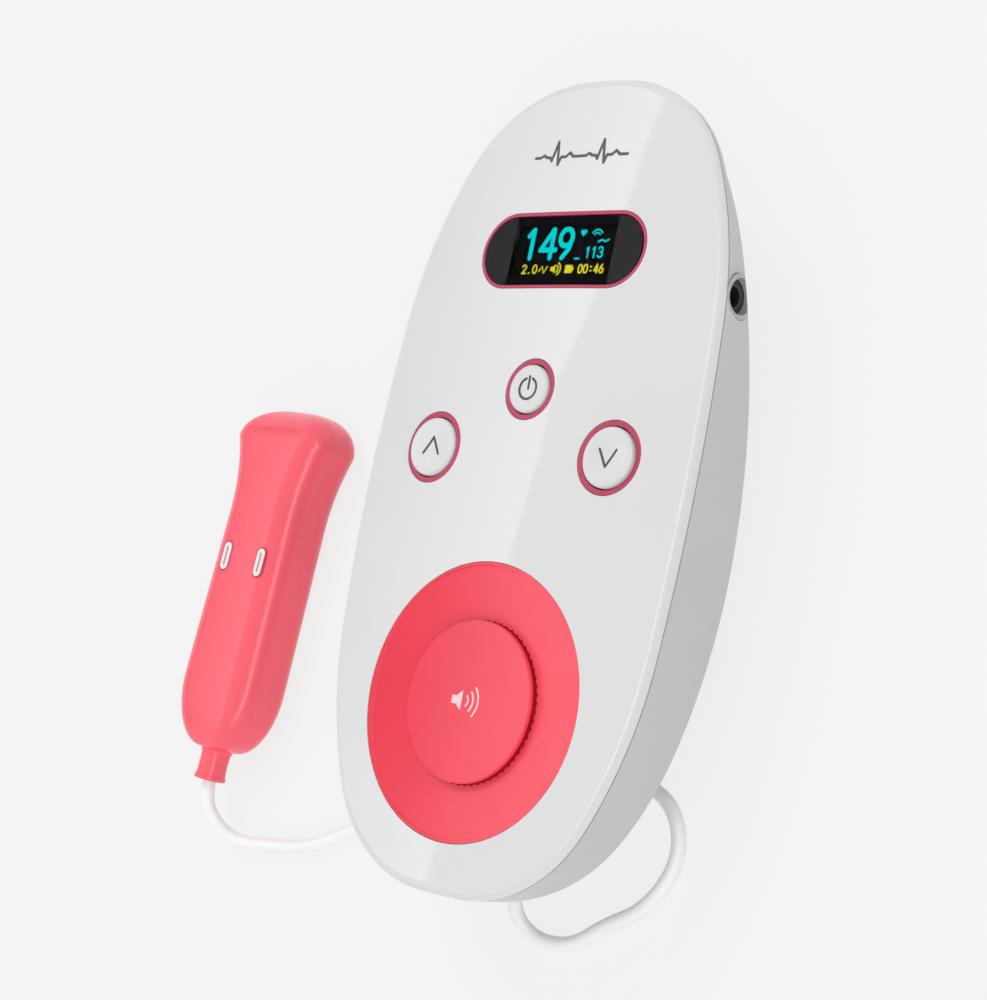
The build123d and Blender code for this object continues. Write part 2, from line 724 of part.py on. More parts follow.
with BuildPart() as speaker_magnet:
    with BuildSketch(speaker_plane.offset(frame_floor - magnet_height)):
        Circle(magnet_radius)
    extrude(amount=magnet_height - slip / 2)
    fillet(speaker_magnet.edges().sort_by(Axis.Z)[0], 0.3)
finish(speaker_magnet, "speaker_magnet")

# ---------------------------------------------------------------- batteries
cell_middle = cell_floor + cell_radius
for name, side in (("battery_left", -1), ("battery_right", 1)):
    # The left cell's button points to the head, the right one's to the tail
    start = bay_tail + contact_thick + (spring_length if side < 0 else cell_nub_length)
    with BuildPart() as cell:
        with BuildSketch(Plane(origin=(side * cell_spacing / 2, start, cell_middle), z_dir=(0, 1, 0))):
            Circle(cell_radius - slip / 2)
        extrude(amount=cell_length)
        fillet(cell.edges(), 0.6)
        nub_base = start + cell_length if side < 0 else start
        with BuildSketch(Plane(origin=(side * cell_spacing / 2, nub_base, cell_middle), z_dir=(0, -side, 0))):
            Circle(cell_nub_radius)
        extrude(amount=cell_nub_length)
    finish(cell, name)

with BuildPart() as battery_contacts:
    for side in (-1, 1):
        with Locations((side * cell_spacing / 2, bay_tail + contact_thick / 2, cell_middle),
                       (side * cell_spacing / 2, bay_head - contact_thick / 2, cell_middle)):
            Box(contact_size, contact_thick, contact_size)
finish(battery_contacts, "battery_contacts")

for name, side in (("battery_spring_left", -1), ("battery_spring_right", 1)):
    base = bay_tail + contact_thick if side < 0 else bay_head - contact_thick
    foot = base - side * (spring_wire / 2 + slip)
    with BuildPart() as spring:
        with BuildLine():
            coil = Helix(pitch=(spring_length - 2 * spring_wire) / spring_turns,
                         height=spring_length - 2 * spring_wire, radius=spring_radius,
                         center=(side * cell_spacing / 2, foot, cell_middle),
                         direction=(0, -side, 0))
        with BuildSketch(Plane(origin=coil @ 0, z_dir=coil % 0)):
            Circle(spring_wire / 2)
        sweep(path=coil)
    finish(spring, name)

# ---------------------------------------------------------------- battery door
with BuildPart() as battery_door:
    with Locations((0, (door_tail + door_head) / 2, 0)):
        Box(2 * door_half_width, door_head - door_tail, door_top, align=UP)
    add(back_form(0), mode=Mode.INTERSECT)
    with Locations((0, sum(door_recess) / 2, door_skin)):
        Box(2 * (door_half_width - door_rim), door_recess[1] - door_recess[0], door_top, align=UP,
            mode=Mode.SUBTRACT)
    with Locations(*[(side * hook_offset, door_tail, (hook_low + hook_high) / 2) for side in (-1, 1)]):
        Box(hook_width, 2 * hook_reach, hook_high - hook_low)
    with Locations(*[(side * latch_width / 2, door_head, -1) for side in (-1, 1)]):
        Box(latch_cut, 2 * latch_length, 2 * door_top, align=UP, mode=Mode.SUBTRACT)
    with Locations(*[(0, grip_place + step * grip_pitch, 0) for step in range(grip_count)]):
        Box(latch_width - 3 * latch_cut, grip_width, 2 * grip_depth, mode=Mode.SUBTRACT)
finish(battery_door, "battery_door")

# ---------------------------------------------------------------- cord gland
with BuildPart() as cord_gland:
    with BuildSketch(gland_plane.offset(-gland_length)):
        Circle(gland_radius)
    extrude(amount=gland_length - gland_neck)
    with BuildSketch(gland_plane.offset(-gland_neck)):
        Circle(gland_radius)
    with BuildSketch(gland_plane):
        Circle(gland_mouth_radius)
    loft()
    with BuildSketch(gland_plane.offset(-gland_flange_place)):
        Circle(gland_flange_radius)
    extrude(amount=-gland_flange_thick)
finish(cord_gland, "cord_gland")

# ---------------------------------------------------------------- probe
probe_move = Location((*on_unit(probe_place), 0), (0, 0, probe_turn))


def probe_section(station):
    """Width, height and lowest level of the probe at a station from its tail."""
    share = station / probe_length
    flare = max(0, 1 - (probe_length - station) / probe_flare) ** 2
    tail = 1 - math.sqrt(1 - max(0, 1 - station / probe_round) ** 2)
    width, height = [
        at_tail + (at_head - at_tail) * share + growth * flare - loss * tail
        for at_tail, at_head, growth, loss
        in zip(probe_tail_size, probe_head_size, probe_flare_growth, probe_round_loss)]
    return width, height, probe_round_loss[1] * tail / 2


def window_section(turn):
    """The same for the sound window, and its station, at a turn from 0 to 90 degrees."""
    width, height, low = probe_section(probe_length)
    lost = 1 - math.cos(math.radians(turn))
    return (probe_length + probe_window_reach * math.sin(math.radians(turn)),
            width * (1 - lost * probe_window_loss[0]), height * (1 - lost * probe_window_loss[1]),
            low + height * lost * probe_window_loss[1] * probe_window_lean)


def probe_outline(station, width, height, low, skin=0):
    """One section of the probe, drawn in by skin."""
    with BuildSketch(Plane.XZ.offset(-station)) as outline:
        with Locations((0, low + height / 2)):
            RectangleRounded(width - 2 * skin, height - 2 * skin, probe_corner * height - skin)
    return outline.sketch


probe_stations = [probe_round * (1 - math.cos(math.radians(90 * i / probe_steps)))
                  for i in range(probe_steps)]
probe_stations += [probe_round + (probe_length - probe_flare - probe_round) * i / probe_steps
                   for i in range(probe_steps)]
probe_stations += [probe_length - probe_flare * (1 - i / probe_steps)
                   for i in range(probe_steps + 1)]


def probe_form(skin, first=0):
    """The probe housing's form from its tail, drawn in by skin."""
    return loft([probe_outline(station, *probe_section(station), skin)
                 for station in probe_stations[first:]])


def place_probe(builder, name):
    """Put a piece drawn along +Y at the probe's place, then label and write it."""
    builder.part = probe_move * builder.part
    finish(builder, name)


probe_outer = probe_form(0)
probe_inner = probe_form(probe_skin, 2)
end_station = probe_length
end_width, end_height, end_low = probe_section(end_station)
board_low = probe_board_top - probe_board_size[2]
pill_top = probe_section(pill_station)[1] + pill_proud

with BuildPart() as probe_upper_shell:
    add(probe_outer)
    add(probe_inner, mode=Mode.SUBTRACT)
    with Locations((0, 0, probe_axis_height + slip / 2)):
        Box(4 * end_width, 4 * probe_length, 4 * end_height, align=DOWN, mode=Mode.SUBTRACT)
    with BuildSketch(Plane.XZ.offset(relief_length)):
        with Locations((0, probe_axis_height)):
            Circle(relief_radius + slip)
    extrude(amount=-relief_length - relief_root - 1, mode=Mode.SUBTRACT)
    with BuildSketch(Plane.XY.offset(pill_top - pill_proud - pill_thick + slip)):
        with Locations(*[(x, pill_station) for x in pill_places]):
            SlotOverall(pill_recess[1], pill_recess[0], rotation=90)
    extrude(amount=end_height, mode=Mode.SUBTRACT)
place_probe(probe_upper_shell, "probe_upper_shell")

with BuildPart() as probe_lower_shell:
    add(probe_outer)
    add(probe_inner, mode=Mode.SUBTRACT)
    with Locations(*[(0, probe_board_station + side * probe_board_size[1] / 3, probe_skin / 2)
                     for side in (-1, 1)]):
        Box(*probe_rib, board_low - probe_skin / 2, align=UP)
    with Locations((0, 0, probe_axis_height - slip / 2)):
        Box(4 * end_width, 4 * probe_length, 4 * end_height, align=UP, mode=Mode.SUBTRACT)
    with BuildSketch(Plane.XZ.offset(relief_length)):
        with Locations((0, probe_axis_height)):
            Circle(relief_radius + slip)
    extrude(amount=-relief_length - relief_root - 1, mode=Mode.SUBTRACT)
place_probe(probe_lower_shell, "probe_lower_shell")

with BuildPart() as sound_window:
    loft([Pos(0, slip / 2, 0) * probe_outline(*window_section(90 * i / probe_steps))
          for i in range(probe_steps + 1)])
place_probe(sound_window, "sound_window")

crystal_face = end_station - crystal_thick
for name, side in (("transmit_crystal", -1), ("receive_crystal", 1)):
    with BuildPart() as crystal:
        with BuildSketch(Plane.XZ.offset(-crystal_face)):
            with Locations((0, crystal_height)):
                Circle(crystal_radius)
            with Locations((-side * (end_width - crystal_split / 2), crystal_height)):
                Rectangle(2 * end_width, 2 * end_height, mode=Mode.SUBTRACT)
        extrude(amount=-crystal_thick)
    place_probe(crystal, name)

with BuildPart() as backing_block:
    with BuildSketch(Plane.XZ.offset(-crystal_face + slip / 2)):
        with Locations((0, crystal_height)):
            Circle(crystal_radius)
    extrude(amount=backing_length)
place_probe(backing_block, "backing_block")

with BuildPart() as probe_board:
    with Locations((0, probe_board_station, board_low)):
        Box(*probe_board_size, align=UP)
place_probe(probe_board, "probe_board")

for name, x in zip(("left_insert", "right_insert"), pill_places):
    with BuildPart() as insert:
        with BuildSketch(Plane.XY.offset(pill_top - pill_thick)):
            with Locations((x, pill_station)):
                SlotOverall(pill_size[1], pill_size[0], rotation=90)
        extrude(amount=pill_thick)
    place_probe(insert, name)

with BuildPart() as probe_relief:
    with BuildSketch(Plane.XZ.offset(-relief_root)):
        with Locations((0, probe_axis_height)):
            Circle(relief_radius)
    extrude(amount=relief_root)
    with BuildSketch(Plane.XZ):
        with Locations((0, probe_axis_height)):
            Circle(relief_radius)
    with BuildSketch(Plane.XZ.offset(relief_length)):
        with Locations((0, probe_axis_height)):
            Circle(relief_end_radius)
    loft()
    with BuildSketch(Plane.XZ.offset(relief_length)):
        with Locations((0, probe_axis_height)):
            Circle(relief_bore_radius)
    extrude(amount=-relief_bore_depth, mode=Mode.SUBTRACT)
place_probe(probe_relief, "probe_relief")

# ---------------------------------------------------------------- cord
gland_mouth = Vector(0, unit_y + gland_y, gland_z)
relief_floor = (probe_move * Location((0, relief_bore_depth - relief_length, probe_axis_height))).position
probe_back = Vector(0, -1, 0).rotate(Axis.Z, probe_turn)
points = ([gland_mouth, gland_mouth + gland_plane.z_dir * cord_first]
          + [Vector(x, y + unit_y, z) for x, y, z in cord_route]
          + [relief_floor + probe_back * cord_last, relief_floor])
runs = [(b - a).length for a, b in zip(points, points[1:])]
turns = [(b - a).get_angle(c - b) for a, b, c in zip(points, points[1:], points[2:])]
radii = [0.45 * min(before, after) / math.tan(math.radians(turn) / 2)
         for before, after, turn in zip(runs, runs[1:], turns)]
with BuildPart() as cord:
    with BuildLine() as path:
        FilletPolyline(*points, radius=radii)
    with BuildSketch(Plane(origin=points[0], z_dir=points[1] - points[0])):
        Circle(cord_diameter / 2)
    sweep(path=path.wires()[0])
finish(cord, "cord")
length = sum(edge.length for edge in path.edges())
print("cord route", [tuple(round(value, 2) for value in point) for point in points])
print("cord bend radii", [round(radius, 1) for radius in radii])
print("cord length", round(length, 1), "volume", round(cord.part.volume, 1),
      "section x length", round(length * math.pi * (cord_diameter / 2) ** 2, 1))
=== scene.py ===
# %% [markdown]
# # A fetal doppler monitor, dressed for its picture
# This is a small listening set for a baby's heartbeat: a white handheld unit with
# a screen, three keys and a round speaker outlet, and a pink probe on a thin cord.
# Its rigid parts are already modelled and packed. This lesson adds what such a
# model lacks: the camera and light, the soft cord, the lit screen, the printed
# signs, and a finish for every surface.

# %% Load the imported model
import math
import bpy
import numpy as np
from mathutils import Matrix, Quaternion, Vector


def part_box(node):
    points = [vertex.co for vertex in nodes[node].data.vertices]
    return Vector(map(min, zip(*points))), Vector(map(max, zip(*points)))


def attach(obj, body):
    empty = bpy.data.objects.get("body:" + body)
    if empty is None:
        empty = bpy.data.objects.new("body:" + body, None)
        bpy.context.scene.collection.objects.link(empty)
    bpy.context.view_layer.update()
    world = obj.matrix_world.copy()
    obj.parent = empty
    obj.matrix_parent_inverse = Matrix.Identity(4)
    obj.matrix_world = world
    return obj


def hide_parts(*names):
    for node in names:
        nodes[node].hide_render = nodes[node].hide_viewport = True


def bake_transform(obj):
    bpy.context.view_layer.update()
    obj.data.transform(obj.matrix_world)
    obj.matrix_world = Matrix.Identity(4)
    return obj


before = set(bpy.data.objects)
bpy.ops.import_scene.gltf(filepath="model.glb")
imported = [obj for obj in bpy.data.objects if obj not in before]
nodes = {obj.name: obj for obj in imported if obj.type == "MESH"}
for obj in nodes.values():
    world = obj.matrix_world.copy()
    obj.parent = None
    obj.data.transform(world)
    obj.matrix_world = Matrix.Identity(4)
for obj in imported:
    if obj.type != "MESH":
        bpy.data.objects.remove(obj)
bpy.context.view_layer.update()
mm = 0.001

# %% [markdown]
# ## The camera
# The unit lies on its back and is seen from the lower right. A camera can be given
# a rotation by hand, but an aim point is easier to reason about: the camera looks
# from its place to the aim, and then rolls about its own line of sight. The long
# lens, 84 mm, keeps the perspective gentle, as in most product pictures.

# %% Place the camera
camera_place = Vector((279.213, -49.270, 329.128)) * mm
camera_aim = Vector((-3.039, 5.391, 31.0)) * mm
camera_roll = math.radians(-70.243)

camera_lens = bpy.data.cameras.new("camera")
camera_lens.lens = 83.697
camera_lens.sensor_width = 36.0
camera_lens.clip_start = 0.01
camera = bpy.data.objects.new("camera", camera_lens)
bpy.context.scene.collection.objects.link(camera)
look = (camera_aim - camera_place).to_track_quat("-Z", "Y")
camera.matrix_world = (Matrix.Translation(camera_place)
                       @ (look @ Quaternion((0, 0, 1), camera_roll)).to_matrix().to_4x4())
bpy.context.scene.camera = camera
bpy.context.scene.view_settings.view_transform = "Standard"
print("camera", round((camera_aim - camera_place).length * 1000), "mm from its aim")

# %% [markdown]
# ## Meshes from arrays
# Every new surface below is a table of points worked out with numpy. A table with
# rows and columns becomes a sheet of four-sided faces, and the faces are the same
# table of point numbers shifted by one row and one column. Doing this once, in one
# helper, keeps every later cell short.

# %% Helpers for meshes
def new_mesh(name, points, faces, smooth=True):
    """A mesh object from an array of points (any shape, last axis x, y, z, in metres)
    and a list of faces, each a list of point numbers."""
    mesh = bpy.data.meshes.new(name)
    mesh.from_pydata(np.asarray(points, float).reshape(-1, 3).tolist(), [], list(faces))
    mesh.validate()
    mesh.polygons.foreach_set("use_smooth", np.full(len(mesh.polygons), smooth))
    piece = bpy.data.objects.new(name, mesh)
    bpy.context.scene.collection.objects.link(piece)
    return piece


def grid_faces(rows, columns, wrap=False):
    """Faces of a sheet of rows x columns points, numbered row by row:
    point (i, j) joins (i, j + 1), (i + 1, j + 1) and (i + 1, j).
    With wrap, the last column joins the first, as round a tube."""
    i, j = np.meshgrid(np.arange(rows - 1), np.arange(columns if wrap else columns - 1),
                       indexing="ij")
    k = (j + 1) % columns
    corners = np.stack([i * columns + j, i * columns + k,
                        (i + 1) * columns + k, (i + 1) * columns + j], -1)
    return corners.reshape(-1, 4).tolist()


# %% [markdown]
# ## The cord
# The cord is a thin, limp cable. A straight-line path with rounded corners looks
# like bent wire, and a simulated rope rarely lies where it should. A NURBS curve
# is the middle way: it needs few points, and between them it bends as evenly as a
# soft cable does. It comes out of the unit's foot, drops to the table, turns under
# the unit, and runs on to the probe's tail.

# %% The cord's line
cord_width = 2.7 * mm
cord_route = np.array([
    (0.0, -59.11, 10.0), (0.0, -61.81, 7.93), (-0.5, -66.11, 5.2), (2.1, -69.01, 2.7),
    (6.5, -69.51, 1.35), (11.6, -68.21, 1.35), (17.3, -63.81, 1.35), (24.1, -60.41, 1.35),
    (29.1, -53.71, 1.35), (30.0, -47.01, 1.35), (26.1, -40.41, 1.35), (18.7, -37.91, 1.35),
    (4.6, -42.31, 1.35), (-13.4, -46.91, 1.35), (-31.9, -50.81, 1.35),
    (-47.4, -56.01, 1.35), (-60.3, -62.61, 1.35), (-70.8, -64.01, 1.35),
    (-81.3, -65.11, 2.8), (-86.6, -61.91, 5.4), (-89.13, -57.03, 6.9),
    (-88.79, -51.54, 6.9)]) * mm

cord_curve = bpy.data.curves.new("cord_line", "CURVE")
cord_curve.dimensions = "3D"
cord_spline = cord_curve.splines.new("NURBS")
cord_spline.points.add(len(cord_route) - 1)
cord_spline.points.foreach_set("co", np.c_[cord_route, np.ones(len(cord_route))].ravel())
cord_spline.order_u = 3
cord_spline.use_endpoint_u = True
cord_spline.resolution_u = 16
cord_line = bpy.data.objects.new("cord_line", cord_curve)
bpy.context.scene.collection.objects.link(cord_line)
line_mesh = bpy.data.meshes.new_from_object(cord_line)
cord_path = np.array([v.co for v in line_mesh.vertices])
bpy.data.objects.remove(cord_line)
print("cord", len(cord_path), "points,",
      round(float(np.linalg.norm(np.diff(cord_path, axis=0), axis=1).sum()) * 1000, 1), "mm")


# %% The cord's tube
def tube(name, path, radius, sides=28):
    """A closed tube along a line of points. At each point the tangent t is the way to
    the next point, side = t x up and under = t x side, and the ring is
    point + radius * (cos a * side + sin a * under) for a from 0 to a full turn.
    A middle point closes each end."""
    tangent = np.gradient(path, axis=0)
    tangent /= np.linalg.norm(tangent, axis=1, keepdims=True)
    side = np.cross(tangent, (0, 0, 1))
    side /= np.linalg.norm(side, axis=1, keepdims=True)
    under = np.cross(tangent, side)
    turn = np.linspace(0, 2 * np.pi, sides, endpoint=False)
    rings = path[:, None] + radius * (np.cos(turn)[None, :, None] * side[:, None]
                                      + np.sin(turn)[None, :, None] * under[:, None])
    faces = grid_faces(len(path), sides, wrap=True)
    first, last = len(path) * sides, len(path) * sides + 1
    ring, after = np.arange(sides), (np.arange(sides) + 1) % sides
    tail = (len(path) - 1) * sides
    faces += np.stack([np.full(sides, first), after, ring], -1).tolist()
    faces += np.stack([np.full(sides, last), tail + ring, tail + after], -1).tolist()
    return new_mesh(name, np.r_[rings.reshape(-1, 3), path[:1], path[-1:]], faces)


cord = tube("doppler_cord", cord_path, cord_width / 2)
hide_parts("cord")
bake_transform(cord)
print("cord tube", len(cord.data.polygons), "faces")

# %% [markdown]
# ## The table and the light
# A product picture wants a plain pale ground with almost no shadow. A floor that is
# only bright would lose the contact shadow, so the floor is part glow, part paint:
# the glow sets the tone, and the paint keeps a soft shade under the parts. To every
# ray that lights the parts, both floor and sky are an ordinary even white.

# %% Levels and rays
ground = 0.913
sky_level, floor_level, thin_level, floor_glow = 0.74, 0.85, 0.12, 0.787
floor_reach, floor_gap = 3.0, 0.1 * mm


def seen_ray(tree):
    """A value that is 1 where a ray comes from the camera, or through gloss or glass:
    the largest of the three Light Path outputs, taken in two steps."""
    rays = tree.nodes.new("ShaderNodeLightPath")
    value = rays.outputs["Is Camera Ray"]
    for other in ("Is Glossy Ray", "Is Transmission Ray"):
        step = tree.nodes.new("ShaderNodeMath")
        step.operation = "MAXIMUM"
        tree.links.new(value, step.inputs[0])
        tree.links.new(rays.outputs[other], step.inputs[1])
        value = step.outputs[0]
    return value


print("sky lights at", sky_level, "and is seen at", ground)

# %% Sky
world = bpy.data.worlds.new("studio")
bpy.context.scene.world = world
world.use_nodes = True
tree = world.node_tree
tree.nodes.clear()
sky_light = tree.nodes.new("ShaderNodeBackground")
sky_light.inputs["Strength"].default_value = sky_level
sky_seen = tree.nodes.new("ShaderNodeBackground")
sky_seen.inputs["Strength"].default_value = ground
for sky in (sky_light, sky_seen):
    sky.inputs["Color"].default_value = (1, 1, 1, 1)
choose = tree.nodes.new("ShaderNodeMixShader")
out = tree.nodes.new("ShaderNodeOutputWorld")
tree.links.new(seen_ray(tree), choose.inputs[0])
tree.links.new(sky_light.outputs[0], choose.inputs[1])
tree.links.new(sky_seen.outputs[0], choose.inputs[2])
tree.links.new(choose.outputs[0], out.inputs["Surface"])
print("sky", len(tree.nodes), "nodes")

# %% Floor
floor_points = floor_reach * np.array([(-1, -1), (1, -1), (1, 1), (-1, 1)])
floor = new_mesh("floor", np.c_[floor_points, np.full(4, -floor_gap)], [[0, 1, 2, 3]], False)
floor_paint = bpy.data.materials.new("floor_paint")
floor_paint.use_nodes = True
tree = floor_paint.node_tree
tree.nodes.clear()
paint = tree.nodes.new("ShaderNodeBsdfDiffuse")
paint.inputs["Color"].default_value = (floor_level, floor_level, floor_level, 1)
thin_paint = tree.nodes.new("ShaderNodeBsdfDiffuse")
thin_paint.inputs["Color"].default_value = (thin_level, thin_level, thin_level, 1)
glow = tree.nodes.new("ShaderNodeEmission")
glow.inputs["Color"].default_value = (1, 1, 1, 1)
glow.inputs["Strength"].default_value = floor_glow
both = tree.nodes.new("ShaderNodeAddShader")
choose = tree.nodes.new("ShaderNodeMixShader")
out = tree.nodes.new("ShaderNodeOutputMaterial")
tree.links.new(thin_paint.outputs[0], both.inputs[0])
tree.links.new(glow.outputs[0], both.inputs[1])
tree.links.new(seen_ray(tree), choose.inputs[0])
tree.links.new(paint.outputs[0], choose.inputs[1])
tree.links.new(both.outputs[0], choose.inputs[2])
tree.links.new(choose.outputs[0], out.inputs["Surface"])
floor.data.materials.append(floor_paint)
print("floor", 2 * floor_reach, "m across, glow", floor_glow)

# %% [markdown]
# ## Suns and gloss cards
# Two wide suns shape the forms. One shines from beyond the head, and a softer one from
# the near side fills the shade. A sun would leave a hard spot in polished plastic, so
# neither is seen by gloss. What gloss sees instead is two glowing cards. A wide one
# across the table draws a broad, straight-edged band on the unit's face, and a curved
# strip behind the camera lights the rounded edges. The wide card fades to one side
# and the strip to both ends, and each point of a card stores its share of the glow.

# %% Suns
def sun(name, energy, angle, direction):
    """A sun that shines from a direction, as wide as angle degrees, unseen by gloss."""
    light = bpy.data.lights.new(name, "SUN")
    light.energy = energy
    light.angle = math.radians(angle)
    lamp = bpy.data.objects.new(name, light)
    bpy.context.scene.collection.objects.link(lamp)
    lamp.visible_glossy = False
    lamp.rotation_mode = "QUATERNION"
    lamp.rotation_quaternion = Vector(direction).to_track_quat("Z", "Y")


sun("main_sun", 0.70, 20, (-0.28, 0.60, 0.75))
sun("fill_sun", 0.70, 40, (0.60, -0.58, 0.55))
print("suns", sorted(lamp.name for lamp in bpy.data.lights))


# %% Gloss cards
def gloss_card(name, points, share, low, high):
    """A glowing sheet that only gloss sees. points are its rows and columns, share the
    level of each point from 0 to 1, and its strength is low + share * (high - low)."""
    sheet = new_mesh(name, points, grid_faces(*points.shape[:2]), False)
    fade = sheet.data.attributes.new("fade", "FLOAT", "POINT")
    fade.data.foreach_set("value", np.ravel(share).astype(np.float32))
    paint = bpy.data.materials.new(name + "_glow")
    paint.use_nodes = True
    tree = paint.node_tree
    tree.nodes.clear()
    read = tree.nodes.new("ShaderNodeAttribute")
    read.attribute_name = "fade"
    level = tree.nodes.new("ShaderNodeMapRange")
    level.inputs["To Min"].default_value = low
    level.inputs["To Max"].default_value = high
    glow = tree.nodes.new("ShaderNodeEmission")
    out = tree.nodes.new("ShaderNodeOutputMaterial")
    tree.links.new(read.outputs["Fac"], level.inputs["Value"])
    tree.links.new(level.outputs[0], glow.inputs["Strength"])
    tree.links.new(glow.outputs[0], out.inputs["Surface"])
    sheet.data.materials.append(paint)
    for ray in ("camera", "diffuse", "shadow", "transmission"):
        setattr(sheet, "visible_" + ray, False)
    return sheet


# The wide card: middle + u * along + v * out, with a glow of (1 - v / its width)^2.
card_middle = np.array((-576.0, 179.1, 701.6)) * mm
card_along = np.array((-0.2353, -0.9715, 0.0294))
card_out = np.array((-0.7273, 0.1559, -0.6684))
u, v = np.meshgrid(np.linspace(-0.50, 0.62, 12), np.linspace(0.0, 0.46, 12), indexing="ij")
face_card = gloss_card("face_card", card_middle + u[..., None] * card_along
                       + v[..., None] * card_out, (1 - v / v.max()) ** 2, 0.0, 2.9)

# The curved strip: a part of a sphere, with a glow of cos(1.1 * (azimuth + 0.13)).
strip_radius = 0.9
a, e = np.meshgrid(np.radians(np.linspace(-75, 60, 28)), np.radians(np.linspace(38, 50, 6)),
                   indexing="ij")
strip_points = strip_radius * np.stack([np.cos(e) * np.cos(a), np.cos(e) * np.sin(a),
                                        np.sin(e)], -1)
edge_card = gloss_card("edge_card", strip_points, np.cos(1.1 * (a + 0.13)), 0.5, 4.5)
print("cards", len(face_card.data.polygons), "and", len(edge_card.data.polygons), "faces")


# %% [markdown]
# ## Moulded plastic
# Most of what is seen is moulded plastic: one colour, but never a flat one. Real
# mouldings drift a little in tone, their polish is a little uneven, and the skin
# has a fine grain that breaks up reflections. Painted textures would stretch and
# repeat, so three noise patterns in the object's own millimetres do the work: a
# wide one tints, a middle one varies the polish, and a fine one raises the grain.

# %% Patterns
def noise(tree, size, detail=2.0, offset=0.0):
    """A noise pattern whose lumps are about size metres across, at the object's own
    coordinates: scale = 1 / size."""
    place = tree.nodes.new("ShaderNodeTexCoord")
    shift = tree.nodes.new("ShaderNodeMapping")
    shift.inputs["Location"].default_value = (offset, offset / 2, -offset)
    pattern = tree.nodes.new("ShaderNodeTexNoise")
    pattern.inputs["Scale"].default_value = 1 / size
    pattern.inputs["Detail"].default_value = detail
    tree.links.new(place.outputs["Object"], shift.inputs["Vector"])
    tree.links.new(shift.outputs[0], pattern.inputs["Vector"])
    return pattern.outputs["Fac"]


def between(tree, value, low, high, start=0.2, stop=0.8):
    """value from start..stop carried to low..high, easing in and out at the ends."""
    step = tree.nodes.new("ShaderNodeMapRange")
    step.interpolation_type = "SMOOTHSTEP"
    for socket, number in (("From Min", start), ("From Max", stop),
                           ("To Min", low), ("To Max", high)):
        step.inputs[socket].default_value = number
    tree.links.new(value, step.inputs["Value"])
    return step.outputs[0]


# %% Plastic
def moulded(name, colour, rough=0.3, grain=0.25, height=0.004, drift=0.03, ior=1.5,
            specular=0.5, metal=0.0, wide=14.0, painted_shade_to=None):
    """A moulded finish. grain and height are the grain's size and depth in mm, drift
    the share that the colour varies by, wide the size of that variation in mm:
    colour * (1 - drift .. 1 + drift), roughness * (0.85 .. 1.2). painted_shade_to is a second
    colour and the x, in mm, where the first ends and the second is reached."""
    material = bpy.data.materials.new(name)
    material.use_nodes = True
    tree = material.node_tree
    shader = tree.nodes["Principled BSDF"]
    shader.inputs["IOR"].default_value = ior
    shader.inputs["Specular IOR Level"].default_value = specular
    shader.inputs["Metallic"].default_value = metal
    tint = tree.nodes.new("ShaderNodeMix")
    tint.data_type = "RGBA"
    tint.inputs[6].default_value = (*[c * (1 - drift) for c in colour], 1)
    tint.inputs[7].default_value = (*[min(1, c * (1 + drift)) for c in colour], 1)
    tree.links.new(between(tree, noise(tree, wide * mm), 0, 1), tint.inputs[0])
    # Painted shade: by object x, the colour turns from the first colour to the second.
    if painted_shade_to:
        second, start, stop = painted_shade_to
        place = tree.nodes.new("ShaderNodeTexCoord")
        split = tree.nodes.new("ShaderNodeSeparateXYZ")
        tree.links.new(place.outputs["Object"], split.inputs[0])
        turned = between(tree, split.outputs["X"], 0, 1, start * mm, stop * mm)
        for socket, share in ((6, 1 - drift), (7, 1 + drift)):
            step = tree.nodes.new("ShaderNodeMix")
            step.data_type = "RGBA"
            step.inputs[6].default_value = (*[min(1, c * share) for c in colour], 1)
            step.inputs[7].default_value = (*[min(1, c * share) for c in second], 1)
            tree.links.new(turned, step.inputs[0])
            tree.links.new(step.outputs[2], tint.inputs[socket])
    tree.links.new(tint.outputs[2], shader.inputs["Base Color"])
    tree.links.new(between(tree, noise(tree, 3.1 * mm, 3.0, 0.2), rough * 0.85, rough * 1.2),
                   shader.inputs["Roughness"])
    relief = tree.nodes.new("ShaderNodeBump")
    relief.inputs["Distance"].default_value = height * mm
    relief.inputs["Strength"].default_value = 1.0
    tree.links.new(noise(tree, grain * mm, 2.0, 0.4), relief.inputs["Height"])
    tree.links.new(relief.outputs[0], shader.inputs["Normal"])
    return material


def dress(material, *names):
    """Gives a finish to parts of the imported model, in every material slot they have."""
    for name in names:
        mesh = nodes[name].data
        mesh.materials.clear()
        mesh.materials.append(material)
    return material


# %% [markdown]
# ## The housing
# The front cover is polished white plastic. The rear cover has a finer, duller texture that hides
# scratches, and its white is greyer as painted shade, so its side walls read darker than the face.
# The pinks are three: a dull, deep one on the thin rings, a warm one on the speaker's dish with
# painted shade that lightens it from -x towards +x, and a glossy one on the probe.

# %% Covers, trims and keys
gloss_white = moulded("gloss_white", (0.72, 0.72, 0.725), rough=0.045, grain=1.6,
                      height=0.0006, drift=0.012, wide=30)
# The rear cover's white is greyer than the front's as painted shade for its side walls.
satin_white_painted_shade = moulded("satin_white_painted_shade", (0.54, 0.54, 0.55), rough=0.34, grain=0.22,
                      height=0.006, drift=0.015, wide=20)
key_white = moulded("key_white", (0.69, 0.69, 0.70), rough=0.20, grain=0.5,
                    height=0.002, drift=0.02, wide=6)
trim_pink = moulded("trim_pink", (0.50, 0.038, 0.10), rough=0.34, grain=0.4,
                    height=0.002, drift=0.04, wide=5)
# The dish's colour holds painted shade: darker towards -x, lighter towards +x.
dish_pink = moulded("dish_pink", (0.82, 0.024, 0.058), rough=0.36, grain=0.35,
                    height=0.003, drift=0.03, wide=12, specular=0.4,
                    painted_shade_to=((0.96, 0.095, 0.135), -25, 22))
probe_pink = moulded("probe_pink", (0.97, 0.11, 0.16), rough=0.21, grain=0.6,
                     height=0.003, drift=0.025, wide=16)

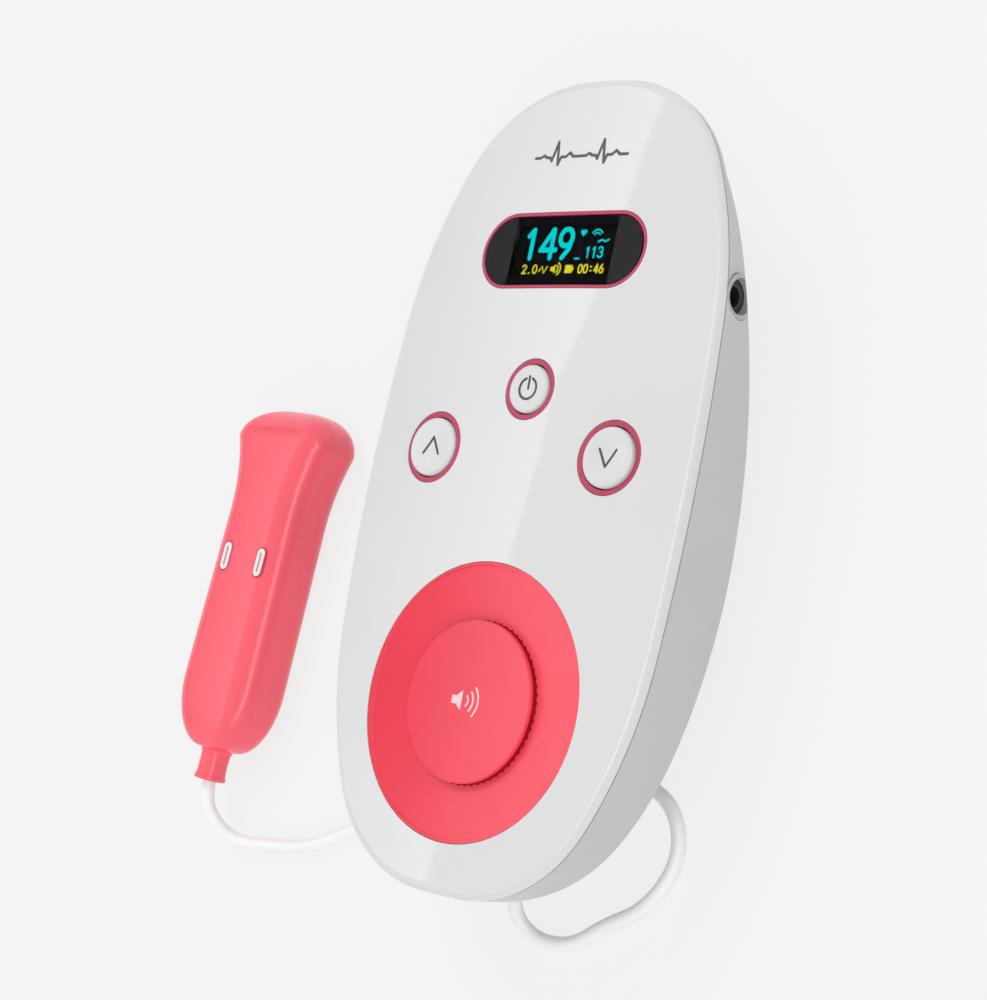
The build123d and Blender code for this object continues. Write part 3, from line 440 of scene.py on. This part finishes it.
dress(gloss_white, "front_cover")
dress(satin_white_painted_shade, "rear_cover", "battery_door", "cord_gland")
dress(key_white, "power_button", "up_button", "down_button")
dress(trim_pink, "window_trim", "power_ring", "up_ring", "down_ring")
dress(dish_pink, "speaker_dish", "speaker_cap")
dress(probe_pink, "probe_upper_shell", "probe_lower_shell", "sound_window", "probe_relief")
cord_vinyl = moulded("cord_vinyl", (0.92, 0.92, 0.925), rough=0.35, grain=0.3,
                     height=0.003, drift=0.02, wide=9)
cord.data.materials.append(cord_vinyl)
print(len(bpy.data.materials), "finishes so far")

# %% [markdown]
# ## The window and the parts inside
# The window over the screen is smoked plastic. With a true index of refraction, the
# gloss of its two faces lays a milky haze over a dark screen, so this sheet has an
# index of 1 and a faint coat instead. The inner parts show through slots, the socket
# and the open battery door, so each gets the finish that such a part has.

# %% Smoked window
smoked_lens = bpy.data.materials.new("smoked_window")
smoked_lens.use_nodes = True
lens_shader = smoked_lens.node_tree.nodes["Principled BSDF"]
lens_shader.inputs["Base Color"].default_value = (0.80, 0.80, 0.82, 1)
lens_shader.inputs["Transmission Weight"].default_value = 1.0
lens_shader.inputs["IOR"].default_value = 1.0
lens_shader.inputs["Coat Weight"].default_value = 0.03
lens_tree = smoked_lens.node_tree
lens_tree.links.new(between(lens_tree, noise(lens_tree, 6 * mm, 3.0), 0.01, 0.04),
                    lens_shader.inputs["Roughness"])
dress(smoked_lens, "display_window")
print("window tint", [round(c, 2) for c in lens_shader.inputs["Base Color"].default_value])

# %% Inner parts
dress(moulded("panel_black", (0.003, 0.003, 0.004), rough=0.5, drift=0.1, specular=0.0),
      "display_panel")
dress(moulded("inner_black", (0.02, 0.02, 0.022), rough=0.45, grain=0.3, height=0.01),
      "display_holder", "controller_chip", "amplifier_chip", "speaker_frame",
      "power_switch", "up_switch", "down_switch", "headphone_socket")
dress(moulded("board_green", (0.02, 0.13, 0.05), rough=0.3, grain=0.5, height=0.01,
              drift=0.15, wide=3), "main_board", "probe_board")
dress(moulded("screw_steel", (0.55, 0.55, 0.56), rough=0.28, metal=1.0, drift=0.08, wide=2),
      "case_screws", "board_screws", "speaker_magnet")
dress(moulded("contact_nickel", (0.66, 0.64, 0.60), rough=0.22, metal=1.0, drift=0.06,
              wide=3), "battery_contacts", "battery_spring_left", "battery_spring_right")
dress(moulded("cell_jacket", (0.05, 0.06, 0.08), rough=0.3, drift=0.1), "battery_left",
      "battery_right")
dress(moulded("foam_black", (0.03, 0.03, 0.03), rough=0.9, grain=0.5, height=0.15),
      "speaker_gasket")
dress(moulded("cone_paper", (0.06, 0.06, 0.06), rough=0.8, grain=0.4, height=0.05),
      "speaker_cone")
dress(moulded("collar_grey", (0.42, 0.42, 0.43), rough=0.34), "socket_collar")
dress(moulded("ceramic", (0.75, 0.72, 0.66), rough=0.5), "transmit_crystal",
      "receive_crystal")
dress(moulded("backing_resin", (0.10, 0.10, 0.11), rough=0.6), "backing_block")
dress(moulded("insert_white", (0.82, 0.80, 0.80), rough=0.34), "left_insert", "right_insert")
print(len(bpy.data.materials), "finishes")

# %% [markdown]
# ## Dust cloth
# Behind the ring of slots, real sets have a thin dark cloth that keeps dust off the
# speaker. Without it the slots look into a black case; with it they show deep red.
# It is one flat disc, tilted as the speaker is. A low dark red sleeve under the rim of the cap is
# painted shade: it stands for the shadowed gap round the cap's foot, and its foot darkens the
# slots' outer ends.

# %% Cloth behind the outlets
speaker_middle, speaker_slope = np.array((0.0, -30.61, 30.418)), 0.0284
cloth_radius, cloth_top, cloth_under = 15.3, -3.005, -3.035
round_count = 96


def on_speaker(x, y, z):
    """From the speaker's own plane to the model's frame, in metres: x across, y along the
    tilted face and z out of it, with along = (0, 1, slope) / its length and
    out = (0, -slope, 1) / its length."""
    size = math.hypot(1, speaker_slope)
    return (speaker_middle + np.stack([x, (y - z * speaker_slope) / size,
                                       (z + y * speaker_slope) / size], -1)) * mm


turn = np.linspace(0, 2 * np.pi, round_count, endpoint=False)
disc = [on_speaker(cloth_radius * np.cos(turn), cloth_radius * np.sin(turn),
                   np.full(round_count, level)) for level in (cloth_top, cloth_under)]
ring, after = np.arange(round_count), (np.arange(round_count) + 1) % round_count
cloth_edge = np.stack([ring, ring + round_count, after + round_count, after], -1)
outlet_cloth = new_mesh("outlet_cloth", np.concatenate(disc),
                        [ring.tolist(), (round_count + ring[::-1]).tolist()]
                        + cloth_edge.tolist(), False)
cloth_red = moulded("cloth_red", (0.62, 0.015, 0.03), rough=0.9, grain=0.3, height=0.05,
                    drift=0.1, wide=1, specular=0.1)
outlet_cloth.data.materials.append(cloth_red)
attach(outlet_cloth, "unit")
print("outlet cloth", len(outlet_cloth.data.polygons), "faces")

# %% Painted shade ring under the cap's rim
# Rows of (radius, level) in mm, once round the sleeve's own section.
# A dark red ring of painted shade: it stands for the shadowed gap under the cap's rim, and its
# foot darkens the slots' outer ends.
shade_ring_section = np.array([(14.3, -2.1), (14.86, -2.1), (14.86, -1.86), (14.58, -1.86),
                          (14.58, -0.94), (14.3, -0.94)])
shade_ring_points = on_speaker(shade_ring_section[:, :1] * np.cos(turn),
                         shade_ring_section[:, :1] * np.sin(turn),
                         shade_ring_section[:, 1:] + 0 * turn)
around = np.arange(len(shade_ring_section))[:, None] * round_count
above = (around + round_count) % (len(shade_ring_section) * round_count)
painted_shade_ring = new_mesh("painted_shade_ring", shade_ring_points, np.stack(
    [around + ring, around + after, above + after, above + ring],
    -1).reshape(-1, 4).tolist(), False)
painted_shade_ring.data.materials.append(moulded(
    "painted_shade_red", (0.36, 0.006, 0.016), rough=0.9, grain=0.3, height=0.05, drift=0.1, wide=1,
    specular=0.1))
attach(painted_shade_ring, "unit")
print("painted shade ring", len(painted_shade_ring.data.polygons), "faces")

# %% [markdown]
# ## The probe's skin
# The real probe is filled and polished until no joint shows: shells and sound window
# read as one soft pink body. Two half shells that meet would always leave a line, so
# the skin is one sheet of sections. Each section is a rounded rectangle whose width
# and height change along the probe: the tail rounds off like an ellipse, the middle
# narrows evenly, the head flares as a square law, and the tip closes in a dome.

# %% Sections of the probe
probe_place, probe_turn = (-88.54, -47.451), math.radians(-3.5)
probe_length, probe_round, probe_flare = 65.1, 14.5, 15.8
dome_length, dome_narrows, dome_thins, dome_rises = 7.6, 0.88, 0.82, 0.24
corner_share = 0.377


def probe_size(station):
    """Width, height and lowest level of the probe, in mm, at stations from its tail.
    share = station / length, flare = (1 - (length - station) / 15.8)^2 where that is
    inside the flare, tail = 1 - sqrt(1 - (1 - station / 14.5)^2) near the tail:
    width = 23.2 - 2.6 share + 6.7 flare - 16.5 tail,
    height = 13.8 + 0.3 share + 0.3 flare - 7 tail, low = 3.5 tail."""
    share = station / probe_length
    flare = np.clip(1 - (probe_length - station) / probe_flare, 0, None) ** 2
    tail = 1 - np.sqrt(1 - np.clip(1 - station / probe_round, 0, 1) ** 2)
    return (23.2 - 2.6 * share + 6.7 * flare - 16.5 * tail,
            13.8 + 0.3 * share + 0.3 * flare - 7.0 * tail, 3.5 * tail)


def rounded_box(width, height, corner, count=12):
    """Points round rectangles with rounded corners, one row per size. Corner k has its
    middle at (+-(width / 2 - corner), +-(height / 2 - corner)), and its points are that
    middle + corner * (cos a, sin a) for a from 90 k to 90 (k + 1) degrees."""
    a = np.linspace(0, 0.5, count) * np.pi + np.arange(4)[:, None] * np.pi / 2
    sign = np.array([(1, 1), (-1, 1), (-1, -1), (1, -1)])
    middle = sign[None] * np.stack([width / 2 - corner, height / 2 - corner], -1)[:, None]
    ring = middle[:, :, None] + corner[:, None, None, None] * np.stack([np.cos(a), np.sin(a)], -1)
    return ring.reshape(len(width), -1, 2)


def at_probe(across, station, height):
    """From the probe's own place to the model's frame, in metres: a turn of -3.5
    degrees about Z and a shift to the tail's place."""
    c, s = math.cos(probe_turn), math.sin(probe_turn)
    return np.stack([probe_place[0] + across * c - station * s,
                     probe_place[1] + across * s + station * c, height], -1) * mm


# %% The probe's skin
# The dome's sections follow a quarter circle: at a share sin t of its length, each size
# has lost 1 - cos t of its own share.
ease = np.sin(np.linspace(0, np.pi / 2, 22))
station = np.r_[probe_round * (1 - np.cos(np.linspace(0, np.pi / 2, 22))),
                np.linspace(probe_round, probe_length - probe_flare, 24)[1:],
                np.linspace(probe_length - probe_flare, probe_length, 26)[1:]]
width, height, low = probe_size(station)
lost = 1 - np.sqrt(1 - ease[1:] ** 2)
station = np.r_[station, probe_length + dome_length * ease[1:]]
low = np.r_[low, low[-1] + height[-1] * lost * dome_thins * dome_rises]
width = np.r_[width, width[-1] * (1 - lost * dome_narrows)]
height = np.r_[height, height[-1] * (1 - lost * dome_thins)]
ring = rounded_box(width, height, corner_share * height)
skin_points = at_probe(ring[..., 0], station[:, None] + 0 * ring[..., 0],
                       (low + height / 2)[:, None] + ring[..., 1])
sides = ring.shape[1]
skin_faces = np.array(grid_faces(len(station), sides, wrap=True))[:, ::-1].tolist()
skin_faces += [list(range(sides)),
               list(range((len(station) - 1) * sides, len(station) * sides))[::-1]]
probe_skin = new_mesh("probe_skin", skin_points, skin_faces)
probe_skin.data.materials.append(probe_pink)
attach(probe_skin, "probe")
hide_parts("probe_upper_shell", "probe_lower_shell", "sound_window")
print("probe skin", len(station), "sections,", len(skin_faces), "faces")


# %% [markdown]
# ## The relief sleeve
# Where a cord enters a handheld part it would soon break, so a short soft sleeve takes
# the bend. This one flows out of the probe's tail and ends in a rolled lip round the
# cord. It is round, so a profile turned about the cord's axis gives the whole of it.

# %% The relief sleeve
def turned(name, profile, place, sides=64):
    """A solid of revolution. The profile is rows of (station, radius) that start and
    end on the axis, and each ring is place(radius * cos a, station, radius * sin a)."""
    profile = np.asarray(profile, float)
    turn = np.linspace(0, 2 * np.pi, sides, endpoint=False)
    inner = profile[1:-1]
    rings = place(inner[:, 1:] * np.cos(turn), inner[:, :1] + 0 * turn,
                  inner[:, 1:] * np.sin(turn))
    ends = place(np.zeros(2), profile[[0, -1], 0], np.zeros(2))
    faces = grid_faces(len(inner), sides, wrap=True)
    ring, after = np.arange(sides), (np.arange(sides) + 1) % sides
    first, tail = len(inner) * sides, (len(inner) - 1) * sides
    faces += np.stack([np.full(sides, first), after, ring], -1).tolist()
    faces += np.stack([np.full(sides, first + 1), tail + ring, tail + after], -1).tolist()
    return new_mesh(name, np.r_[rings.reshape(-1, 3), ends], faces)


# From inside the probe: a plug, a root that falls from radius 4.52 to 3.02 as a sine
# does, the neck, the rolled lip, and the bore back up to the end of the cord.
axis_height = 6.9
root = np.linspace(0, 1, 9)
sleeve_profile = np.r_[
    [(5.0, 0.0), (5.0, 4.6)],
    np.c_[1.6 - 3.1 * root, 3.02 + 1.5 * (1 - np.sin(root * np.pi / 2))],
    [(-2.6, 2.98), (-3.8, 3.0), (-4.9, 3.06)],
    [(-5.45, 3.12), (-5.6, 3.24), (-5.85, 3.32), (-6.15, 3.32), (-6.4, 3.2), (-6.5, 2.98),
     (-6.46, 2.7), (-6.3, 2.42), (-6.0, 2.25), (-5.4, 2.15), (-3.2, 2.1), (-2.6, 1.9),
     (-2.5, 0.0)]]
relief_sleeve = turned("relief_sleeve", sleeve_profile,
                       lambda across, station, up: at_probe(across, station,
                                                            axis_height + up))
relief_sleeve.data.materials.append(probe_pink)
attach(relief_sleeve, "probe")
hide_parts("probe_relief")
print("relief sleeve", len(relief_sleeve.data.polygons), "faces")

# %% [markdown]
# ## Signs in ink
# The signs on the keys and covers are pad printed: a film of ink a few hundredths
# of a millimetre thick that lies on the plastic. A picture wrapped on the part
# would need an image, and a text object would need a font, so each sign is built
# from strokes. A stroke is a line of points with a width; its outline runs up one
# side, round the end, and back down the other.

# %% Strokes
def bend(centre, radius, start, stop, count=24):
    """Points on an arc: centre + radius * (cos a, sin a), a from start to stop in degrees."""
    a = np.radians(np.linspace(start, stop, count))
    return np.array(centre) + radius * np.c_[np.cos(a), np.sin(a)]


def stroke(points, width):
    """The outline of a line of points drawn with a round pen. Left and right sides are
    point + and - width / 2 * normal, and a half circle closes each end."""
    points = np.asarray(points, float)
    along = np.gradient(points, axis=0)
    along /= np.linalg.norm(along, axis=1, keepdims=True)
    normal = np.c_[-along[:, 1], along[:, 0]] * width / 2
    a = np.linspace(0, np.pi, 9)[1:-1, None]
    last = points[-1] + np.cos(a) * normal[-1] + np.sin(a) * along[-1] * width / 2
    first = points[0] - np.cos(a) * normal[0] - np.sin(a) * along[0] * width / 2
    return np.r_[points + normal, last, (points - normal)[::-1], first]


# %% Print a sign
def print_sign(name, outlines, level, material, body, film=0.03):
    """Ink on a surface: each outline, in mm, becomes a film whose top stands film mm
    over level(x, y) and whose underside is film mm below it. Each next outline is a
    thousandth higher, so that two that cross don't share one plane."""
    points, faces = [], []
    for number, outline in enumerate(outlines):
        count, start = len(outline), sum(len(p) for p in points)
        if np.sum(outline[:, 0] * np.roll(outline[:, 1], -1)
                  - outline[:, 1] * np.roll(outline[:, 0], -1)) < 0:
            outline = outline[::-1]
        carried = level(outline[:, 0], outline[:, 1])
        top = np.c_[outline, carried + film + number * 0.001]
        under = np.c_[outline, carried - film]
        points += [top, under]
        ring = np.arange(count)
        after = (ring + 1) % count
        faces += [(start + ring).tolist(), (start + count + ring[::-1]).tolist()]
        faces += (start + np.stack([ring, ring + count, after + count, after], -1)).tolist()
    piece = new_mesh(name, np.concatenate(points) * mm, faces, smooth=False)
    piece.data.materials.append(material)
    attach(piece, body)
    return piece


# %% [markdown]
# ## The key caps
# A key's cap catches the light in three places: a soft round rim, a shallow dish
# for the fingertip, and the side that shows above its ring. One profile turned about
# the key's own axis gives all three, down to the flange that holds it in and the
# stem that meets the switch.

# %% Sizes of the keys
crown = (0.0, 10.389, 31.0)
power_middle, up_middle, down_middle = (0, 25.99), (-21.05, 14.49), (21.05, 14.49)
power_radius, arrow_radius = 4.46, 5.50
cap_stands, cap_dish, cap_rim, stem, flange_down = 0.62, 0.20, 0.55, 1.5, 5.65
flange_thick, flange_out = 1.0, 0.9
falls_across, falls_along = 908, 2886


def face_level(x, y):
    """Height of the unit's crowned face, in mm:
    crown - x^2 / falls_across - (y - middle)^2 / falls_along."""
    return crown[2] - x ** 2 / falls_across - (y - crown[1]) ** 2 / falls_along


def dished(middle, radius):
    """Height of a cap's top: top - dish * cos^2(90 degrees * distance / flat radius)."""
    top, flat = face_level(*middle) + cap_stands, radius - cap_rim
    return lambda x, y: top - cap_dish * np.cos(np.minimum(
        np.hypot(x - middle[0], y - middle[1]) / flat, 1) * np.pi / 2) ** 2


print("face at the keys", [round(float(face_level(*key)), 2)
                           for key in (power_middle, up_middle, down_middle)])

# %% Key caps
cap_top = {}
for name, middle, radius, body in (("power", power_middle, power_radius, "power_key"),
                                   ("up", up_middle, arrow_radius, "up_key"),
                                   ("down", down_middle, arrow_radius, "down_key")):
    top, cap_top[name] = face_level(*middle) + cap_stands, dished(middle, radius)
    low, high = (corner.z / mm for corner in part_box(name + "_button"))
    flange = high - flange_down
    dish = np.linspace(0, radius - cap_rim, 14)
    rim = np.linspace(0, np.pi / 2, 9)
    profile = np.r_[
        np.c_[cap_top[name](middle[0] + dish, middle[1]), dish],
        np.c_[top - cap_rim + cap_rim * np.cos(rim), radius - cap_rim + cap_rim * np.sin(rim)][1:],
        [(flange + flange_thick, radius), (flange + flange_thick, radius + flange_out),
         (flange, radius + flange_out), (flange, stem), (low, stem), (low, 0.0)]]
    cap = turned(name + "_cap", profile, lambda across, level, back: np.stack(
        [middle[0] + across, middle[1] - back, level], -1) * mm)
    cap.data.materials.append(key_white)
    cap.data.set_sharp_from_angle(angle=math.radians(40))
    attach(cap, body)
    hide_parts(name + "_button")
print("key caps stand", cap_stands, "mm over the face")

# %% [markdown]
# ## Signs on the keys and covers
# The three keys carry the usual signs: a broken ring with a bar for power, and one
# arrow each for louder and softer. They follow the dish of their cap and ride on the
# key, so they go down with it. A pulse trace stands at the head of the face and a
# small horn on the speaker's cap, each on the slope of what it is printed on.

# %% Signs on the keys
def flat_at(height):
    """One height everywhere, as a level for print_sign."""
    return lambda x, y: np.full(np.shape(x), height)


ink_grey = moulded("ink_grey", (0.065, 0.065, 0.07), rough=0.45, grain=0.2, drift=0.1, wide=1)
ink_dark = moulded("ink_dark", (0.095, 0.075, 0.10), rough=0.4, grain=0.2, drift=0.1, wide=1)
ink_pale = moulded("ink_pale", (0.93, 0.62, 0.66), rough=0.4, grain=0.2, drift=0.03, wide=1)

print_sign("power_sign", [
    stroke(bend(power_middle, 1.95, 112, 428, 40), 0.48),
    stroke(np.add([(0, 0.0), (0, 1.1), (0, 2.2)], power_middle), 0.48)],
    cap_top["power"], ink_grey, "power_key")
print_sign("up_sign", [
    stroke(np.add([(-1.9, -1.35), (-0.95, 0.2), (0, 1.75)], up_middle), 0.46),
    stroke(np.add([(0, 1.75), (0.95, 0.2), (1.9, -1.35)], up_middle), 0.46)],
    cap_top["up"], ink_grey, "up_key")
print_sign("down_sign", [
    stroke(np.add([(-1.9, 1.35), (-0.95, -0.2), (0, -1.75)], down_middle), 0.46),
    stroke(np.add([(0, -1.75), (0.95, -0.2), (1.9, 1.35)], down_middle), 0.46)],
    cap_top["down"], ink_grey, "down_key")

# %% Signs on the face and the speaker's cap
beat = np.array([(0, 0), (1.2, 0), (2.0, 0.45), (2.8, 0), (3.6, 0), (4.1, -0.7), (4.9, 3.0),
                 (5.8, -1.5), (6.3, 0), (7.4, 0), (8.3, 0.75), (9.2, 0), (11.0, 0)])
trace_start = (-11.5, 70.2)
trace = np.r_[beat, beat[1:] + (11.0, 0)] + trace_start
print_sign("pulse_sign", [stroke(np.linspace(a, b, 3), 0.55)
                          for a, b in zip(trace[:-1], trace[1:])],
           face_level, ink_dark, "unit")

cap_middle, cap_height = speaker_middle[:2], 30.42
horn = np.array([(-3.6, -0.75), (-2.5, -0.75), (-1.2, -1.8), (-1.2, 1.8), (-2.5, 0.75),
                 (-3.6, 0.75)])
print_sign("sound_sign", [cap_middle + horn] + [
    stroke(bend(cap_middle + (-1.0, 0), r, -42, 42, 14), 0.36) for r in (1.3, 2.5, 3.7)],
    lambda x, y: cap_height + (y - cap_middle[1]) * speaker_slope, ink_pale, "unit")


# %% [markdown]
# ## The pills in the probe
# The two white pills are inserts of the imported model. A thin ring of darker pink is painted
# shade for the step where each one sits, and a grey line down its middle is painted shade for a
# fine slot. Both are films, like the signs: the ring follows the probe's rising upper side, and
# the line lies on the insert's flat top.

# %% Painted shade of the grooves and slots
def probe_level(x, y):
    """Height of the probe's upper side: 13.8 + 0.3 * station / length, where station is
    the distance from the tail along the probe."""
    station = ((y - probe_place[1]) * math.cos(probe_turn)
               - (x - probe_place[0]) * math.sin(probe_turn))
    return 13.8 + 0.3 * station / probe_length


def pill(across, station, long, wide):
    """A pill outline on the probe: a round-ended stroke of the given length and width."""
    reach = (long - wide) / 2
    line = np.array([(across, station - reach), (across, station), (across, station + reach)])
    return stroke(at_probe(line[:, 0], line[:, 1], 0 * line[:, 0])[:, :2] / mm, wide)


pill_places, pill_station = (-4.8, 5.8), 39.4
# The groove ring is painted shade for the step round each pill.
print_sign("pill_groove_shade", [pill(x, pill_station, 6.6, 3.0) for x in pill_places],
           probe_level, moulded("groove_shade_pink", (0.62, 0.03, 0.07), rough=0.5, drift=0.05),
           "probe", film=0.02)
# The slot line is painted shade for a fine slot down each pill.
print_sign("pill_slot_shade", [pill(x, pill_station, 4.2, 0.5) for x in pill_places],
           flat_at(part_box("left_insert")[1].z / mm),
           moulded("slot_shade_grey", (0.50, 0.26, 0.30), rough=0.5, drift=0.05), "probe", film=0.01)
print("pills at", pill_places, "mm across,", pill_station, "mm from the tail")

# %% [markdown]
# ## The lit screen
# Behind the smoked window sits a small display, and the window hides its frame: both
# ends are printed grey, and a black strip runs above and below the lit part. These
# masks are films just under the window's face.

# %% Screen masks
screen_middle = np.array((0.0, 52.19))
glass_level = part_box("display_panel")[1].z / mm
mask_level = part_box("display_window")[1].z / mm - 0.05
mask_left, mask_right, mask_half, strip_from = -12.3, 11.9, 6.5, 4.85

mask_grey = moulded("mask_grey", (0.027, 0.027, 0.028), rough=0.6, drift=0.05, specular=0.0)
mask_black = moulded("mask_black", (0.003, 0.003, 0.004), rough=0.6, drift=0.05, specular=0.0)
for name, edge, turn_from in (("left_mask", mask_left, 90), ("right_mask", mask_right, -90)):
    print_sign(name, [screen_middle + bend((edge, 0), mask_half, turn_from, turn_from + 180)],
               flat_at(mask_level), mask_grey, "unit", film=0.01)
for name, way in (("upper_mask", 1), ("lower_mask", -1)):
    strip = np.array([(mask_left, strip_from), (mask_right, strip_from),
                      (mask_right, mask_half), (mask_left, mask_half)]) * (1, way)
    print_sign(name, [screen_middle + strip], flat_at(mask_level), mask_black,
               "unit", film=0.01)
print("masks at", round(mask_level, 2), "mm, display glass at", round(glass_level, 2), "mm")


# %% [markdown]
# ## The marks on the screen
# A display like this lights its own dots, so the marks are thin shapes that give off
# light and stay bright under any lamp. They have no gloss, because the window has it
# all. The digits are drawn with the same pen as the signs, from strokes in a box of
# one by one that is stretched to each digit's size.

# %% Lit finishes
def lit(name, colour, strength):
    """A lit mark: it gives off its colour, brighter and dimmer by its pixels' grain."""
    material = bpy.data.materials.new(name)
    material.use_nodes = True
    tree = material.node_tree
    shader = tree.nodes["Principled BSDF"]
    shader.inputs["Base Color"].default_value = (*[c * 0.1 for c in colour], 1)
    shader.inputs["Specular IOR Level"].default_value = 0.0
    shader.inputs["Emission Strength"].default_value = strength
    tint = tree.nodes.new("ShaderNodeMix")
    tint.data_type = "RGBA"
    tint.inputs[6].default_value = (*[c * 0.86 for c in colour], 1)
    tint.inputs[7].default_value = (*colour, 1)
    tree.links.new(between(tree, noise(tree, 0.25 * mm), 0, 1), tint.inputs[0])
    tree.links.new(tint.outputs[2], shader.inputs["Emission Color"])
    return material


lit_cyan = lit("lit_cyan", (0.0, 0.78, 0.78), 1.0)
lit_yellow = lit("lit_yellow", (0.86, 0.80, 0.02), 1.0)
print("lit", lit_cyan.name, "and", lit_yellow.name)


# %% Digits
def digit(sign, corner, size, width):
    """One digit's strokes in a box of size (across, up) from its lower left corner:
    corner + size * point, with the points in shares of the box."""
    shapes = {
        "0": [bend((0, 0), 1, -90, 270, 32) * (0.5, 0.5) + (0.5, 0.5)],
        "1": [[(0.2, 0.78), (0.38, 0.89), (0.56, 1.0)], [(0.56, 1.0), (0.56, 0.5), (0.56, 0.0)]],
        "2": [np.r_[bend((0, 0), 1, 165, -40, 20) * (0.48, 0.28) + (0.5, 0.72),
                    [(0.45, 0.28), (0.04, 0.0)]], [(0.04, 0.0), (0.5, 0.0), (1.0, 0.0)]],
        "3": [bend((0, 0), 1, 160, -90, 20) * (0.46, 0.24) + (0.46, 0.76),
              bend((0, 0), 1, 90, -160, 20) * (0.52, 0.26) + (0.46, 0.26)],
        "4": [[(0.68, 1.0), (0.34, 0.64), (0.0, 0.28)], [(0.0, 0.28), (0.5, 0.28), (1.0, 0.28)],
              [(0.72, 0.98), (0.72, 0.5), (0.72, 0.0)]],
        "6": [bend((0, 0), 1, -90, 270, 26) * (0.48, 0.29) + (0.5, 0.29),
              [(0.03, 0.36), (0.16, 0.68), (0.62, 1.0)]],
        "9": [bend((0, 0), 1, -90, 270, 26) * (0.48, 0.29) + (0.5, 0.71),
              [(0.97, 0.66), (0.86, 0.32), (0.40, 0.0)]],
        ":": [[(0.4, 0.24), (0.5, 0.25), (0.6, 0.26)], [(0.4, 0.74), (0.5, 0.75), (0.6, 0.76)]],
        ".": [[(0.4, 0.02), (0.5, 0.03), (0.6, 0.04)]],
    }
    return [stroke(np.asarray(corner) + np.asarray(size) * np.asarray(line), width)
            for line in shapes[sign]]


def row(text, corner, size, step, width):
    """A row of digits, step mm apart."""
    return [outline for place, sign in enumerate(text)
            for outline in digit(sign, np.add(corner, (place * step, 0)), size, width)]


# %% Rate and status marks
# The heart is the curve x = 16 sin^3 t, y = 13 cos t - 5 cos 2t - 2 cos 3t - cos 4t.
t = np.linspace(0, 2 * np.pi, 28, endpoint=False)
heart = np.c_[16 * np.sin(t) ** 3, 13 * np.cos(t) - 5 * np.cos(2 * t)
              - 2 * np.cos(3 * t) - np.cos(4 * t)] / 16
rate_marks = (digit("1", (-10.4, -1.0), (3.0, 5.4), 0.95)
              + digit("4", (-6.4, -1.0), (3.6, 5.4), 0.95)
              + digit("9", (-2.1, -1.0), (3.0, 5.4), 0.95)
              + row("113", (4.6, -1.0), (1.05, 1.9), 1.5, 0.32)
              + [stroke([(2.3, -1.2), (2.8, -1.2), (3.3, -1.2)], 0.3),
                 heart * 0.75 + (3.3, 3.7)]
              + [stroke(bend((6.6, 2.9), r, 30, 150, 12), 0.28) for r in (0.7, 1.3)]
              + [stroke([(7.2, 1.9), (8.0, 2.3), (8.8, 1.9), (9.5, 2.3)], 0.34)])
status_marks = (row("2.0", (-9.9, -3.9), (0.95, 1.55), 1.3, 0.28)
                + [stroke([(-5.7, -3.5), (-5.1, -2.6), (-4.5, -3.9), (-3.9, -2.7)], 0.28)]
                + [stroke(bend((-1.9, -3.1), r, -60, 60, 10), 0.26) for r in (0.7, 1.3)]
                + [np.array([(-3.0, -3.5), (-2.4, -3.5), (-1.9, -4.0), (-1.9, -2.2),
                             (-2.4, -2.7), (-3.0, -2.7)])]
                + [np.array([(0.5, -3.9), (2.2, -3.9), (2.2, -3.5), (2.5, -3.5), (2.5, -2.8),
                             (2.2, -2.8), (2.2, -2.4), (0.5, -2.4)])]
                + row("00:46", (3.7, -3.9), (0.9, 1.55), 1.25, 0.28))
for name, marks, glow_paint in (("rate_marks", rate_marks, lit_cyan),
                                ("status_marks", status_marks, lit_yellow)):
    piece = print_sign(name, [screen_middle + m for m in marks], flat_at(glass_level + 0.02),
                       glow_paint, "unit", film=0.015)
    print(name, len(marks), "strokes,", len(piece.data.polygons), "faces")
